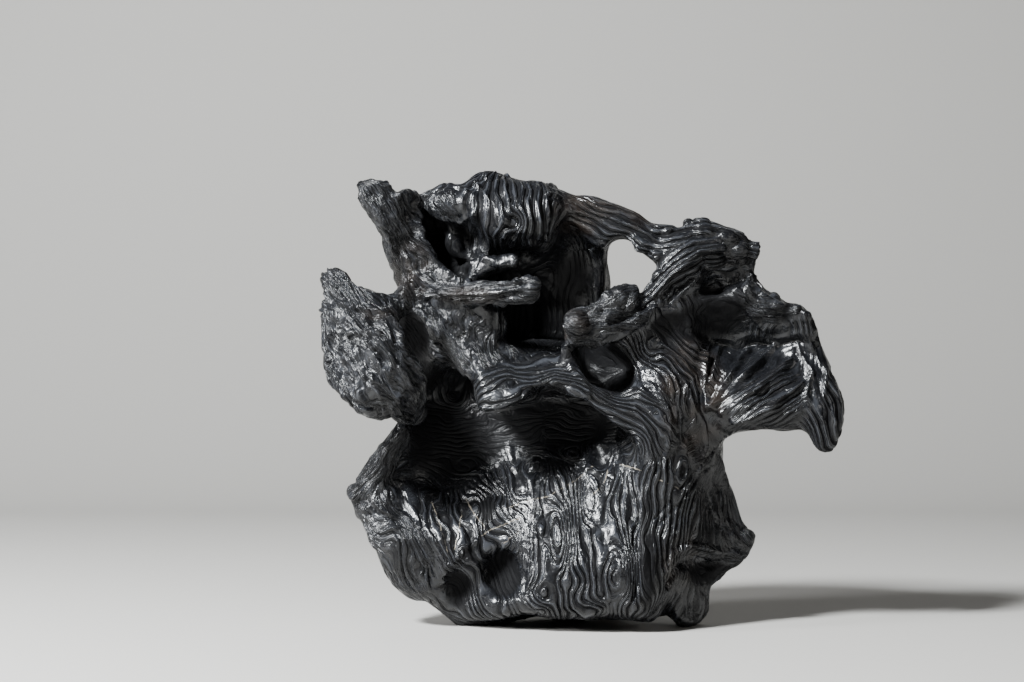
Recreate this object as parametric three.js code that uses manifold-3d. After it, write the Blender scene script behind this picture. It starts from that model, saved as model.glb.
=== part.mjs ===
// A large black scholar's stone, standing on its own feet.
// It is one stone. Water has worn it into a deep bowl with a fluted apron, a ledge over the bowl,
// an ear-shaped leaf and a horn on the left, an open mouth with a lip, and a bridge to a hooked wing.
//
// Its forms are drawn on one front-view sheet, in millimetres: the first number runs across, the
// second down, and the third is the depth, which grows away from the front. The sheet is the plane
// of the feet as an eye in front of the stone sees it, so a form at any depth keeps its outline.
import * as THREE from 'three';
import { edgeTable, triTable } from 'three/addons/objects/MarchingCubes.js';
import { mergeVertices } from 'three/addons/utils/BufferGeometryUtils.js';
import Module from 'manifold-3d';

// The sheet and the eye, in millimetres
const eyeDistance = 2418;
const eyeHeight = 286;
const eyeAcross = 512;
const eyeDown = 341;
const middleAcross = 582.5;

// The block that the stone is worked out of, its grain and its fineness, in millimetres
const blockLow = [-285, -135, -16];
const blockHigh = [285, 175, 476];
const grainSize = 5;
const farAway = 40;
const chartStep = 3;
const sightStep = 2;
const mostFaces = 9600;
const leastTurn = 0.25;
const leastFullness = [0.3, 0.2, 0.1, 0.05];
const leastStep = 0.15;
const evenness = 0.8;

// How softly forms flow into each other, in millimetres
const softJoin = 12;
const softRim = 12;
const softFold = 4;

const smoothMin = (a, b, soft) => {
  const near = Math.max(soft - Math.abs(a - b), 0) / soft;
  return Math.min(a, b) - near * near * soft / 4;
};
const smoothMax = (a, b, soft) => -smoothMin(-a, -b, soft);

const spreadAt = (depth) => 1 + depth / eyeDistance;

// From the sheet to the stone's own frame
function toStone([across, down, depth]) {
  const spread = spreadAt(depth);
  const x = eyeAcross - middleAcross + (across - eyeAcross) * spread;
  return [x, depth, eyeHeight + (eyeDown - down) * spread];
}

// From the stone's own frame to the sheet
function toSheet(x, y, z) {
  const spread = spreadAt(y);
  const across = eyeAcross + (x - eyeAcross + middleAcross) / spread;
  return [across, eyeDown - (z - eyeHeight) / spread];
}

// The stone in the making: the distance to its surface at each point of a grid, negative inside
class Clay {
  constructor(low, high, step) {
    this.low = low;
    this.step = step;
    this.count = low.map((start, axis) => Math.ceil((high[axis] - start) / step) + 1);
    this.values = new Float32Array(this.count[0] * this.count[1] * this.count[2]).fill(farAway);
  }

  index(i, j, k) {
    return i + this.count[0] * (j + this.count[1] * k);
  }

  // Changes each grid point inside a box by the rule given
  work(low, high, margin, rule) {
    const first = low.map((v, axis) => Math.floor((v - margin - this.low[axis]) / this.step));
    const last = high.map((v, axis) => Math.ceil((v + margin - this.low[axis]) / this.step));
    const [i0, j0, k0] = first.map((v) => Math.max(v, 0));
    const [i1, j1, k1] = last.map((v, axis) => Math.min(v, this.count[axis] - 1));
    for (let k = k0; k <= k1; k += 1) {
      for (let j = j0; j <= j1; j += 1) {
        for (let i = i0; i <= i1; i += 1) {
          const at = this.index(i, j, k);
          const x = this.low[0] + i * this.step;
          const y = this.low[1] + j * this.step;
          const z = this.low[2] + k * this.step;
          this.values[at] = rule(this.values[at], x, y, z);
        }
      }
    }
  }

  add(form, soft = softJoin) {
    this.work(form.low, form.high, soft + grainSize, (old, x, y, z) =>
      smoothMin(old, form.distance(x, y, z), soft));
  }

  cut(form, soft = softJoin) {
    this.work(form.low, form.high, soft + grainSize, (old, x, y, z) =>
      smoothMax(old, -form.distance(x, y, z), soft));
  }

  at(x, y, z) {
    const place = [x, y, z].map((v, axis) => (v - this.low[axis]) / this.step);
    const cell = place.map((v, axis) => Math.min(Math.max(Math.floor(v), 0), this.count[axis] - 2));
    const part = place.map((v, axis) => v - cell[axis]);
    let sum = 0;
    for (let corner = 0; corner < 8; corner += 1) {
      const bits = [corner & 1, (corner >> 1) & 1, corner >> 2];
      const share = bits.reduce((all, bit, axis) => all * (bit ? part[axis] : 1 - part[axis]), 1);
      sum += share * this.values[this.index(cell[0] + bits[0], cell[1] + bits[1], cell[2] + bits[2])];
    }
    return sum;
  }

  // The depth of the surface that a line of sight meets first, from the front or from behind
  surface(across, down, behind) {
    const [near, far] = behind ? [blockHigh[1], blockLow[1]] : [blockLow[1], blockHigh[1]];
    const stride = Math.sign(far - near) * sightStep;
    for (let depth = near; Math.abs(depth - far) > sightStep; depth += stride) {
      if (this.at(...toStone([across, down, depth])) < 0) {
        return depth;
      }
    }
    return null;
  }
}

// A smooth curve through points of any number of values, sampled about every `stride` millimetres
function flowing(points, stride = 6) {
  const samples = [];
  for (let n = 0; n < points.length - 1; n += 1) {
    const [p0, p1] = [points[Math.max(n - 1, 0)], points[n]];
    const [p2, p3] = [points[n + 1], points[Math.min(n + 2, points.length - 1)]];
    const steps = Math.max(1, Math.round(Math.hypot(p2[0] - p1[0], p2[1] - p1[1]) / stride));
    for (let step = 0; step < steps; step += 1) {
      const t = step / steps;
      samples.push(p1.map((v, m) => 0.5 * (2 * v + (p2[m] - p0[m]) * t
        + (2 * p0[m] - 5 * v + 4 * p2[m] - p3[m]) * t * t
        + (3 * v - p0[m] - 3 * p2[m] + p3[m]) * t * t * t)));
    }
  }
  samples.push(points[points.length - 1]);
  return samples;
}

// Signed distance on the sheet to a closed smooth outline, negative inside
function outlineDistance(points) {
  const ring = flowing([...points, points[0]], 5);
  return (across, down) => {
    let nearest = Infinity;
    let inside = false;
    for (let n = 0; n < ring.length - 1; n += 1) {
      const [ax, ay] = ring[n];
      const [bx, by] = ring[n + 1];
      const [ex, ey] = [bx - ax, by - ay];
      const along = ((across - ax) * ex + (down - ay) * ey) / (ex * ex + ey * ey + 1e-9);
      const t = Math.min(Math.max(along, 0), 1);
      nearest = Math.min(nearest, Math.hypot(across - ax - t * ex, down - ay - t * ey));
      if ((ay > down) !== (by > down) && across < ax + ex * (down - ay) / ey) {
        inside = !inside;
      }
    }
    return inside ? -nearest : nearest;
  };
}

// A thin bent sheet through a few points of known depth
function bentSheet(points) {
  const size = points.length + 3;
  const bend = (ax, ay, bx, by) => {
    const square = (ax - bx) ** 2 + (ay - by) ** 2;
    return square > 0 ? square * Math.log(square) : 0;
  };
  const rows = points.map(([ax, ay, depth]) =>
    [...points.map(([bx, by]) => bend(ax, ay, bx, by)), 1, ax, ay, depth]);
  rows.push([...points.map(() => 1), 0, 0, 0, 0]);
  rows.push([...points.map(([bx]) => bx), 0, 0, 0, 0]);
  rows.push([...points.map(([, by]) => by), 0, 0, 0, 0]);
  for (let column = 0; column < size; column += 1) {
    let best = column;
    for (let row = column + 1; row < size; row += 1) {
      best = Math.abs(rows[row][column]) > Math.abs(rows[best][column]) ? row : best;
    }
    [rows[column], rows[best]] = [rows[best], rows[column]];
    for (let row = 0; row < size; row += 1) {
      const share = row === column ? 0 : rows[row][column] / rows[column][column];
      for (let m = column; share !== 0 && m <= size; m += 1) {
        rows[row][m] -= share * rows[column][m];
      }
    }
  }
  const weights = rows.map((row, n) => row[size] / row[n]);
  return (across, down) => points.reduce(
    (sum, [bx, by], n) => sum + weights[n] * bend(across, down, bx, by),
    weights[size - 3] + weights[size - 2] * across + weights[size - 1] * down);
}

// A function on the sheet, worked out once on a fine chart and read between its points
function charted(value, low, high) {
  const columns = Math.ceil((high[0] - low[0]) / chartStep) + 2;
  const lines = Math.ceil((high[1] - low[1]) / chartStep) + 2;
  const chart = new Float32Array(columns * lines);
  for (let n = 0; n < chart.length; n += 1) {
    chart[n] = value(low[0] + (n % columns) * chartStep, low[1] + Math.floor(n / columns) * chartStep);
  }
  return (across, down) => {
    const u = Math.min(Math.max((across - low[0]) / chartStep, 0), columns - 1.001);
    const v = Math.min(Math.max((down - low[1]) / chartStep, 0), lines - 1.001);
    const at = Math.floor(u) + columns * Math.floor(v);
    const [s, t] = [u % 1, v % 1];
    return (chart[at] * (1 - s) + chart[at + 1] * s) * (1 - t)
      + (chart[at + columns] * (1 - s) + chart[at + columns + 1] * s) * t;
  };
}

// The box in the stone's frame round points of the sheet, at two depths
function boxRound(points, nearest, furthest) {
  const corners = points.flatMap(([across, down]) =>
    [toStone([across, down, nearest]), toStone([across, down, furthest])]);
  const low = [0, 1, 2].map((axis) => Math.min(...corners.map((corner) => corner[axis])));
  const high = [0, 1, 2].map((axis) => Math.max(...corners.map((corner) => corner[axis])));
  return { low, high };
}

// A mass of stone: an outline on the sheet, and bent sheets for its front and its back
function mass(outline, front, back, rim = softRim) {
  const depths = [...front, ...back].map((point) => point[2]);
  const box = boxRound(outline, Math.min(...depths) - 15, Math.max(...depths) + 15);
  const margin = 40;
  const low = [0, 1].map((axis) => Math.min(...outline.map((point) => point[axis])) - margin);
  const high = [0, 1].map((axis) => Math.max(...outline.map((point) => point[axis])) + margin);
  const edge = charted(outlineDistance(outline), low, high);
  const nearSide = charted(bentSheet(front), low, high);
  const farSide = charted(bentSheet(back), low, high);
  const distance = (x, y, z) => {
    const [across, down] = toSheet(x, y, z);
    const through = smoothMax(nearSide(across, down) - y, y - farSide(across, down), rim);
    return smoothMax(through, edge(across, down) * spreadAt(y), rim);
  };
  return { ...box, distance };
}

// A limb: a round bar along a smooth curve, through points of [across, down, depth, radius]
function limb(points) {
  const samples = flowing(points).map((point) => [...toStone(point), point[3]]);
  const widest = Math.max(...samples.map((sample) => sample[3]));
  const low = [0, 1, 2].map((axis) => Math.min(...samples.map((sample) => sample[axis])) - widest);
  const high = [0, 1, 2].map((axis) => Math.max(...samples.map((sample) => sample[axis])) + widest);
  const distance = (x, y, z) => {
    let nearest = Infinity;
    for (let n = 0; n < samples.length - 1; n += 1) {
      const [a, b] = [samples[n], samples[n + 1]];
      const [ex, ey, ez] = [b[0] - a[0], b[1] - a[1], b[2] - a[2]];
      const along = (x - a[0]) * ex + (y - a[1]) * ey + (z - a[2]) * ez;
      const t = Math.min(Math.max(along / (ex * ex + ey * ey + ez * ez + 1e-9), 0), 1);
      const gap = Math.hypot(x - a[0] - t * ex, y - a[1] - t * ey, z - a[2] - t * ez);
      nearest = Math.min(nearest, gap - a[3] - t * (b[3] - a[3]));
    }
    return nearest;
  };
  return { low, high, distance };
}

// An egg-shaped form: its middle on the sheet, and its half sizes across, in depth and up
function egg(middle, [wide, deep, tall]) {
  const [cx, cy, cz] = toStone(middle);
  const least = Math.min(wide, deep, tall);
  const distance = (x, y, z) => {
    const reach = Math.hypot((x - cx) / wide, (y - cy) / deep, (z - cz) / tall);
    const slope = Math.hypot((x - cx) / wide ** 2, (y - cy) / deep ** 2, (z - cz) / tall ** 2);
    return slope > 1e-6 ? reach * (reach - 1) / slope : -least;
  };
  return { low: [cx - wide, cy - deep, cz - tall], high: [cx + wide, cy + deep, cz + tall], distance };
}

// A line of [across, down] points laid on the surface as it is, `sunk` millimetres under it
function laid(clay, line, radius, sunk, behind = false) {
  const met = flowing(line, 7).map(([across, down]) => [across, down, clay.surface(across, down, behind)]);
  const found = met.filter((point) => point[2] !== null);
  const inward = behind ? -sunk : sunk;
  return found.map(([across, down], n) => {
    const beside = found.slice(Math.max(n - 2, 0), n + 3).map((point) => point[2]);
    const depth = beside.reduce((sum, value) => sum + value, 0) / beside.length;
    const taper = Math.min(1, 0.55 + 0.25 * Math.min(n, found.length - 1 - n));
    return [across, down, depth + inward, radius * taper];
  });
}

function ridge(clay, line, radius, proud, behind = false) {
  const points = laid(clay, line, radius, radius - proud, behind);
  if (points.length > 1) {
    clay.add(limb(points), softFold);
  }
}

function groove(clay, line, radius, deep, behind = false) {
  const points = laid(clay, line, radius, deep - radius, behind);
  if (points.length > 1) {
    clay.cut(limb(points), softFold);
  }
}

// The belly: the wide bowl that carries everything, with its apron sweeping forward
function addBelly(clay) {
  const outline = [
    [402, 418], [396, 429], [386, 441], [374, 457], [367, 473], [363, 481], [353, 485], [347, 492],
    [350, 507], [359, 518], [366, 525], [370, 537], [376, 551], [383, 566], [388, 579], [400, 590],
    [412, 597], [424, 600], [436, 610], [449, 616], [470, 620], [500, 618], [530, 615], [560, 619],
    [600, 617], [630, 620], [650, 620], [660, 612], [672, 600], [690, 588], [706, 578], [722, 570],
    [736, 562], [748, 553], [755, 541], [753, 529], [744, 524], [740, 508], [733, 493], [723, 478],
    [718, 464], [711, 450], [700, 420], [660, 385], [600, 372], [540, 372], [480, 380], [440, 395],
  ];
  const front = [
    [400, 430, -22], [385, 448, -24], [374, 466, -18], [360, 490, -8], [352, 498, 2], [362, 515, -8],
    [420, 436, 18], [450, 440, 45], [480, 440, 42], [520, 430, 38], [560, 430, 32], [600, 430, 20],
    [405, 470, 12], [440, 480, 24], [470, 480, 18], [500, 485, 6], [540, 480, 0], [580, 480, -6],
    [620, 480, -18], [385, 520, -16], [400, 550, -24], [430, 540, -30], [460, 540, -26],
    [500, 530, -22], [540, 530, -32], [580, 530, -40], [620, 530, -46], [400, 585, -6],
    [430, 588, -20], [460, 600, -18], [500, 572, -26], [500, 610, -34], [540, 590, -56],
    [580, 590, -62], [620, 590, -66], [646, 600, -64], [560, 617, -54], [640, 618, -55],
    [436, 608, -2], [648, 560, -60], [650, 500, -42], [655, 450, -34], [680, 445, -30],
    [704, 452, -8], [690, 500, -24], [712, 485, 6], [722, 500, 18], [702, 540, -10], [680, 560, -28],
    [735, 530, 20], [752, 542, 22], [670, 600, -40], [700, 578, 0], [730, 562, 22],
    [430, 398, 60], [480, 390, 48], [540, 380, 42], [600, 375, 30], [660, 380, -8], [700, 415, 0],
  ];
  const back = [
    [402, 420, 42], [372, 466, 22], [350, 495, 22], [364, 520, 32], [385, 570, 40], [412, 597, 44],
    [440, 560, 85], [420, 500, 74], [440, 440, 84], [500, 400, 108], [500, 480, 124], [500, 550, 112],
    [480, 618, 62], [560, 400, 114], [560, 480, 134], [560, 560, 122], [560, 617, 74], [620, 400, 108],
    [620, 480, 128], [620, 560, 114], [640, 618, 40], [690, 420, 72], [700, 480, 92], [702, 540, 88],
    [735, 500, 58], [752, 540, 46], [722, 568, 62], [670, 600, 58], [655, 560, 92],
  ];
  clay.add(mass(outline, front, back, 16));
}

// The stone behind the mouth and the ledge, which joins the upper forms to the belly
function addCore(clay) {
  const outline = [
    [410, 305], [428, 275], [480, 240], [540, 228], [588, 230], [604, 262], [600, 296], [640, 318],
    [690, 335], [716, 370], [712, 430], [700, 470], [500, 470], [430, 440], [406, 404], [410, 350],
  ];
  const front = [
    [420, 310, 24], [450, 260, 34], [520, 260, 42], [590, 250, 22], [590, 290, 26], [530, 320, 58],
    [600, 330, 30], [660, 340, 10], [700, 380, 6], [450, 390, 76], [500, 400, 46], [600, 400, 36],
    [430, 350, 42], [700, 440, 16], [520, 460, 36],
  ];
  const back = [
    [420, 310, 66], [450, 270, 76], [530, 240, 82], [590, 250, 64], [590, 300, 92], [530, 320, 118],
    [650, 330, 82], [705, 370, 66], [700, 440, 84], [450, 380, 92], [520, 400, 118], [600, 400, 116],
    [430, 440, 84], [600, 460, 122],
  ];
  clay.add(mass(outline, front, back, 18));
}

// The brow: the fluted wave along the top, and the wall that runs down behind the mouth
function addBrow(clay) {
  const outline = [
    [414, 204], [428, 191], [440, 184], [455, 183.5], [464, 187], [470, 178], [480, 173.5], [492, 171.5],
    [511, 175], [524, 182], [534, 180.5], [546, 183.5], [558, 189], [570, 195.5], [580, 200],
    [592, 198.5], [606, 203], [620, 210], [637, 216], [642, 228], [628, 238], [613, 238], [605, 256],
    [602, 280], [598, 297], [575, 306], [540, 300], [515, 285], [495, 268], [470, 276], [447, 264],
    [426, 248], [416, 224],
  ];
  const front = [
    [430, 193, -12], [448, 190, -20], [452, 205, -27], [440, 214, -22], [432, 232, 20], [447, 250, 26],
    [466, 250, 6], [478, 235, -14], [476, 262, -16], [480, 180, -8], [490, 195, -30], [490, 228, -36],
    [512, 182, -16], [515, 205, -38], [515, 236, -36], [540, 190, -22], [542, 212, -34],
    [545, 234, -28], [562, 200, -14], [576, 214, -10], [600, 206, -2], [562, 236, 14], [580, 262, 28],
    [592, 288, 26], [552, 282, 36], [515, 272, 30], [625, 218, -4], [604, 232, 8], [500, 262, 10],
  ];
  const back = [
    [430, 200, 18], [450, 188, 12], [470, 185, 24], [492, 178, 30], [520, 190, 42], [560, 200, 42],
    [600, 207, 26], [635, 220, 20], [604, 240, 40], [598, 290, 66], [560, 250, 78], [500, 240, 78],
    [450, 240, 62], [430, 230, 44], [480, 270, 84],
  ];
  clay.add(mass(outline, front, back, 11));
}

// The horn: a broad blade that leans up to the left, open to the mouth along its right side
function addHorn(clay) {
  const outline = [
    [358.5, 186], [363, 182.5], [376, 181.5], [388, 184.5], [397, 195.5], [404, 196], [412, 194],
    [418.5, 200], [419, 214], [421, 230], [429, 248], [441, 263], [454, 274], [472, 281], [478, 296],
    [462, 308], [446, 330], [424, 328], [406, 312], [401, 292], [405, 279], [402, 266], [391, 261],
    [388, 250], [388, 240], [380, 228], [371, 213], [363, 202],
  ];
  const front = [
    [362, 186, -42], [378, 194, -44], [392, 204, -40], [412, 198, -16], [416, 214, -14], [396, 230, -38],
    [392, 255, -12], [412, 242, -30], [408, 272, -24], [432, 262, -22], [440, 285, -32], [425, 312, -12],
    [465, 292, -38], [404, 300, -12],
  ];
  const back = [
    [362, 186, -14], [382, 190, -6], [412, 200, 12], [396, 232, 8], [390, 255, 14], [420, 236, 24],
    [408, 280, 20], [440, 290, 48], [425, 320, 50], [470, 290, 48],
  ];
  clay.add(mass(outline, front, back, 6));
  clay.add(limb([[393, 244, -6, 6], [393, 254, -4, 7], [398, 260, -4, 6]]), 5);
}

// The leaf: a thick ear that stands out to the front left and shades the bowl
function addLeaf(clay) {
  const outline = [
    [320, 279], [322, 271], [331, 267.5], [342, 271], [352, 281], [364, 291], [377, 297], [391, 297],
    [402, 290], [413, 296], [414, 312], [399, 322], [397, 336], [402, 352], [413, 362], [424, 378],
    [423, 392], [427, 408], [423, 420], [411, 424], [398, 419], [391, 413], [377, 417], [363, 415],
    [350, 408], [340, 396], [327, 388], [325, 376], [327, 358], [323, 336], [318, 312], [324, 300],
    [323, 290],
  ];
  const front = [
    [325, 275, -52], [343, 279, -60], [362, 298, -62], [382, 304, -48], [406, 298, -22],
    [320, 318, -50], [330, 350, -60], [330, 380, -64], [348, 312, -76], [360, 336, -84],
    [384, 322, -82], [395, 342, -84], [372, 372, -92], [408, 378, -92], [350, 402, -84],
    [376, 408, -88], [402, 404, -80], [418, 412, -58], [412, 312, -10],
  ];
  const back = [
    [325, 275, -34], [345, 288, -36], [382, 308, -22], [406, 302, 6], [322, 320, -34],
    [330, 380, -44], [360, 336, -50], [395, 342, -44], [372, 372, -60], [410, 380, -56],
    [350, 402, -62], [402, 404, -44], [420, 416, -18],
  ];
  clay.add(mass(outline, front, back, 9));
}

// The saddle: the smooth hollow wall behind the leaf, down from the foot of the horn
function addSaddle(clay) {
  const outline = [
    [394, 298], [412, 292], [444, 300], [456, 340], [462, 372], [440, 392], [420, 398], [406, 372],
    [396, 340],
  ];
  const front = [
    [400, 305, -8], [425, 318, -8], [405, 345, 0], [440, 345, -4], [455, 368, 8], [420, 380, 26],
    [440, 390, 48],
  ];
  const back = [[400, 305, 26], [440, 310, 56], [410, 350, 44], [455, 365, 76], [425, 390, 74]];
  clay.add(mass(outline, front, back, 12));
}

// The neck and the ledge: a lit shelf that sweeps down from under the lip and overhangs the bowl
function addLedge(clay) {
  const outline = [
    [424, 296], [450, 296], [498, 303], [507, 322], [506, 340], [540, 341], [572, 341], [574, 356],
    [580, 374], [592, 386], [618, 402], [634, 420], [626, 432], [606, 414], [580, 397], [558, 387],
    [540, 388], [522, 399], [503, 407], [488, 410], [479, 417], [476, 400], [474, 382], [462, 370],
    [452, 352], [446, 338], [428, 324],
  ];
  const front = [
    [432, 306, -16], [450, 316, -26], [490, 310, -34], [462, 342, -28], [490, 344, -28], [468, 366, -40],
    [498, 374, -48], [484, 406, -62], [520, 350, -16], [552, 349, -10], [522, 384, -54],
    [552, 374, -46], [558, 385, -54], [572, 350, -16], [582, 386, -52], [602, 402, -48],
    [628, 424, -44],
  ];
  const back = [
    [436, 312, 56], [492, 330, 70], [462, 360, 40], [482, 406, -24], [505, 402, -18], [540, 384, -12],
    [585, 394, -14], [628, 426, 0], [545, 352, 60], [480, 372, 10],
  ];
  clay.add(mass(outline, front, back, 12));
}

// The right shoulder: from under the wing down into the flank of the bowl
function addShoulder(clay) {
  const outline = [
    [604, 344], [622, 331], [642, 320], [668, 324], [700, 342], [709, 398], [713, 448], [706, 478],
    [672, 494], [646, 474], [634, 440], [616, 416], [596, 402], [600, 394], [618, 398], [634, 384],
    [632, 362],
  ];
  const front = [
    [612, 344, -22], [640, 334, -24], [660, 352, -20], [696, 346, -16], [642, 374, -24],
    [672, 384, -34], [704, 392, -14], [640, 402, -42], [616, 412, -46], [664, 432, -44],
    [704, 432, -12], [642, 440, -48], [664, 468, -42], [700, 472, -10],
  ];
  const back = [[612, 344, 50], [690, 350, 56], [704, 430, 70], [620, 414, 10], [664, 460, 60]];
  clay.add(mass(outline, front, back, 14));
}

// The wing: a hooked plate folded in along a level crease, so its lower half faces up and forward
function addWing(clay) {
  const outline = [
    [640, 320], [655, 303], [692, 298], [736, 286], [751, 284.5], [762, 287], [773, 297], [790, 304],
    [799, 303.5], [811, 316], [818, 333], [821, 349], [829, 361], [832, 381], [840, 391], [845, 402],
    [843, 416], [844, 427], [839, 440], [835, 449], [828, 452], [818, 447], [812, 435], [800, 427],
    [786, 429], [770, 428.5], [750, 430], [736, 431], [724, 437], [712, 448], [698, 440], [690, 400],
    [680, 360], [650, 346],
  ];
  const front = [
    [656, 312, -14], [690, 306, -12], [722, 300, -14], [748, 292, -16], [768, 304, -14], [794, 312, -10],
    [664, 332, -2], [696, 328, 6], [730, 322, 6], [764, 326, 4], [796, 330, 2], [812, 326, -4],
    [690, 346, 10], [712, 347, 16], [746, 346, 18], [776, 346, 16], [802, 346, 10], [816, 346, 6],
    [704, 366, -6], [728, 368, -6], [756, 368, -6], [786, 368, -4], [812, 368, 0],
    [706, 392, -18], [732, 394, -28], [762, 396, -28], [792, 400, -22], [820, 392, -12], [836, 396, -6],
    [742, 414, -28], [778, 416, -24], [820, 420, -18], [842, 410, -6], [830, 444, -12],
    [752, 428, -8], [790, 426, -8], [716, 436, -8], [700, 416, -14],
  ];
  const back = [
    [656, 320, 52], [702, 320, 48], [750, 294, 22], [790, 310, 26], [816, 340, 30], [742, 350, 52],
    [782, 372, 40], [830, 390, 22], [842, 414, 16], [832, 446, 12], [790, 424, 20], [742, 420, 34],
    [712, 442, 56], [702, 380, 64],
  ];
  clay.add(mass(outline, front, back, 8));
}

// The bridge and its knot, which tie the brow to the wing over the hole
function addBridge(clay) {
  const outline = [
    [585, 199], [606, 203], [628, 212], [640, 217], [655, 224], [671, 227], [683, 230], [690, 221],
    [702, 218.5], [715, 223.5], [732, 228], [744, 232], [750, 241], [758, 249], [757, 262], [753, 275],
    [751, 288], [730, 302], [700, 306], [670, 308], [650, 303], [637, 298], [643, 289], [650, 279],
    [657, 265], [646, 256], [634, 248], [627, 239], [614, 237], [604, 250], [590, 240], [575, 225],
  ];
  const front = [
    [592, 206, -6], [620, 220, -12], [640, 232, -14], [655, 245, -16], [670, 238, -14], [690, 236, -18],
    [702, 223, -10], [722, 236, -16], [742, 240, -8], [753, 257, 0], [747, 278, 2], [722, 262, -12],
    [700, 258, -26], [682, 272, -30], [660, 286, -28], [645, 294, -20], [682, 296, -16], [716, 290, 6],
  ];
  const back = [
    [592, 206, 28], [620, 222, 18], [640, 234, 14], [655, 245, 14], [690, 236, 16], [722, 230, 18],
    [753, 257, 22], [747, 280, 28], [700, 272, 26], [660, 286, 20], [700, 302, 44], [645, 297, 18],
  ];
  clay.add(mass(outline, front, back, 9));
}

// The fist: a cluster of knobs on a short arm, reaching into the mouth from the right
function addFist(clay) {
  clay.add(limb([[672, 312, 2, 18], [648, 312, -18, 15], [622, 318, -28, 14], [600, 322, -34, 14],
    [576, 321, -40, 13]]), 8);
  clay.add(limb([[596, 310, -36, 9], [606, 301, -34, 10], [622, 295, -30, 11], [628, 299, -26, 10],
    [622, 310, -22, 10]]), 6);
  clay.add(limb([[573, 328, -40, 7], [571, 338, -34, 6], [567, 346, -26, 6]]), 8);
  clay.add(limb([[612, 330, -30, 9], [600, 338, -28, 8], [584, 338, -26, 7]]), 8);
  const knobs = [
    [[571, 319, -46], [9, 8, 9]], [[590, 314, -46], [8, 8, 8]], [[604, 326, -44], [9, 8, 7]],
    [[616, 303, -42], [8, 7, 7]], [[632, 292, -28], [7, 8, 8]], [[634, 316, -36], [9, 7, 6]],
  ];
  knobs.forEach(([middle, halves]) => clay.add(egg(middle, halves), 5));
  clay.cut(limb([[584, 306, -46, 4], [594, 318, -50, 5], [600, 330, -46, 4]]), 4);
  clay.cut(limb([[612, 312, -46, 4], [622, 318, -46, 5], [640, 308, -34, 4]]), 4);
}

// The lip under the mouth, with its round end, and the roll that lies above it
function addLip(clay) {
  clay.add(limb([[436, 290, -28, 9], [460, 292, -44, 9], [490, 290, -54, 9], [514, 289, -60, 9],
    [530, 288, -60, 12], [531, 282, -54, 10]]), 8);
  clay.add(limb([[445, 298, -28, 7], [480, 298, -44, 7], [512, 299, -54, 6], [532, 296, -56, 7]]), 6);
  clay.add(limb([[478, 268, -16, 12], [500, 263, -26, 10], [516, 263, -30, 9]]), 8);
  clay.add(limb([[452, 239, 6, 7], [457, 250, 6, 8], [461, 256, 4, 6]]), 5);
}

// The right leg, and the small feet that the stone rests on
function addFeet(clay) {
  const leg = [
    [662, 590], [690, 566], [714, 573], [711, 586], [710, 598], [711, 606], [706, 614], [699, 627],
    [690, 629], [679, 627], [672, 614], [664, 604],
  ];
  const legFront = [[668, 600, -16], [690, 584, -8], [707, 582, 12], [690, 614, -10], [701, 612, 0]];
  const legBack = [[668, 600, 44], [690, 584, 64], [708, 588, 52], [690, 620, 36]];
  clay.add(mass(leg, legFront, legBack, 9));
  const leftFoot = [
    [446, 606], [453, 622], [458, 628], [485, 628], [500, 623], [518, 617], [512, 600], [470, 598],
  ];
  clay.add(mass(leftFoot, [[450, 610, 14], [480, 620, 10], [512, 608, 16]],
    [[450, 610, 52], [480, 620, 58], [512, 608, 56]], 9));
  clay.add(limb([[574, 590, 54, 18], [574, 612, 54, 14], [574, 622, 54, 12]]));
  clay.add(limb([[604, 570, 92, 24], [606, 596, 94, 18], [608, 606, 94, 15]]));
}

// The hollows: the mouth, the cavities round it, the holes under the ledge and beside the feet
function cutHollows(clay) {
  clay.cut(limb([[512, 262, 8, 14], [530, 264, 0, 17], [556, 276, 2, 16]]), 8);
  clay.cut(limb([[429, 212, 6, 7], [431, 234, 4, 9], [441, 258, 0, 8], [454, 268, -8, 6]]), 6);
  clay.cut(limb([[466, 226, 0, 5], [470, 244, -2, 5], [469, 262, -10, 5]]), 5);
  clay.cut(egg([534, 322, 2], [30, 48, 18]), 10);
  clay.cut(egg([603, 370, -12], [27, 40, 21]), 10);
  clay.cut(egg([450, 394, 14], [24, 54, 26]), 10);
  clay.cut(egg([480, 432, 0], [52, 34, 22]), 12);
  clay.cut(egg([570, 424, -6], [60, 28, 24]), 12);
  clay.cut(egg([502, 572, -34], [16, 18, 22]), 8);
  clay.cut(egg([456, 592, -32], [12, 18, 18]), 8);
  clay.cut(limb([[684, 562, -22, 8], [702, 566, 0, 10], [716, 564, 12, 8]]), 6);
  clay.cut(egg([716, 286, -8], [11, 16, 14]), 8);
  clay.cut(egg([540, 632, 20], [26, 60, 16]), 8);
  clay.cut(egg([636, 640, 30], [40, 60, 26]), 8);
  clay.cut(egg([540, 640, 96], [42, 34, 30]), 8);
  clay.cut(egg([668, 640, 90], [34, 46, 44]), 8);
  clay.cut(egg([430, 640, 70], [40, 34, 40]), 8);
}

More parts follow.
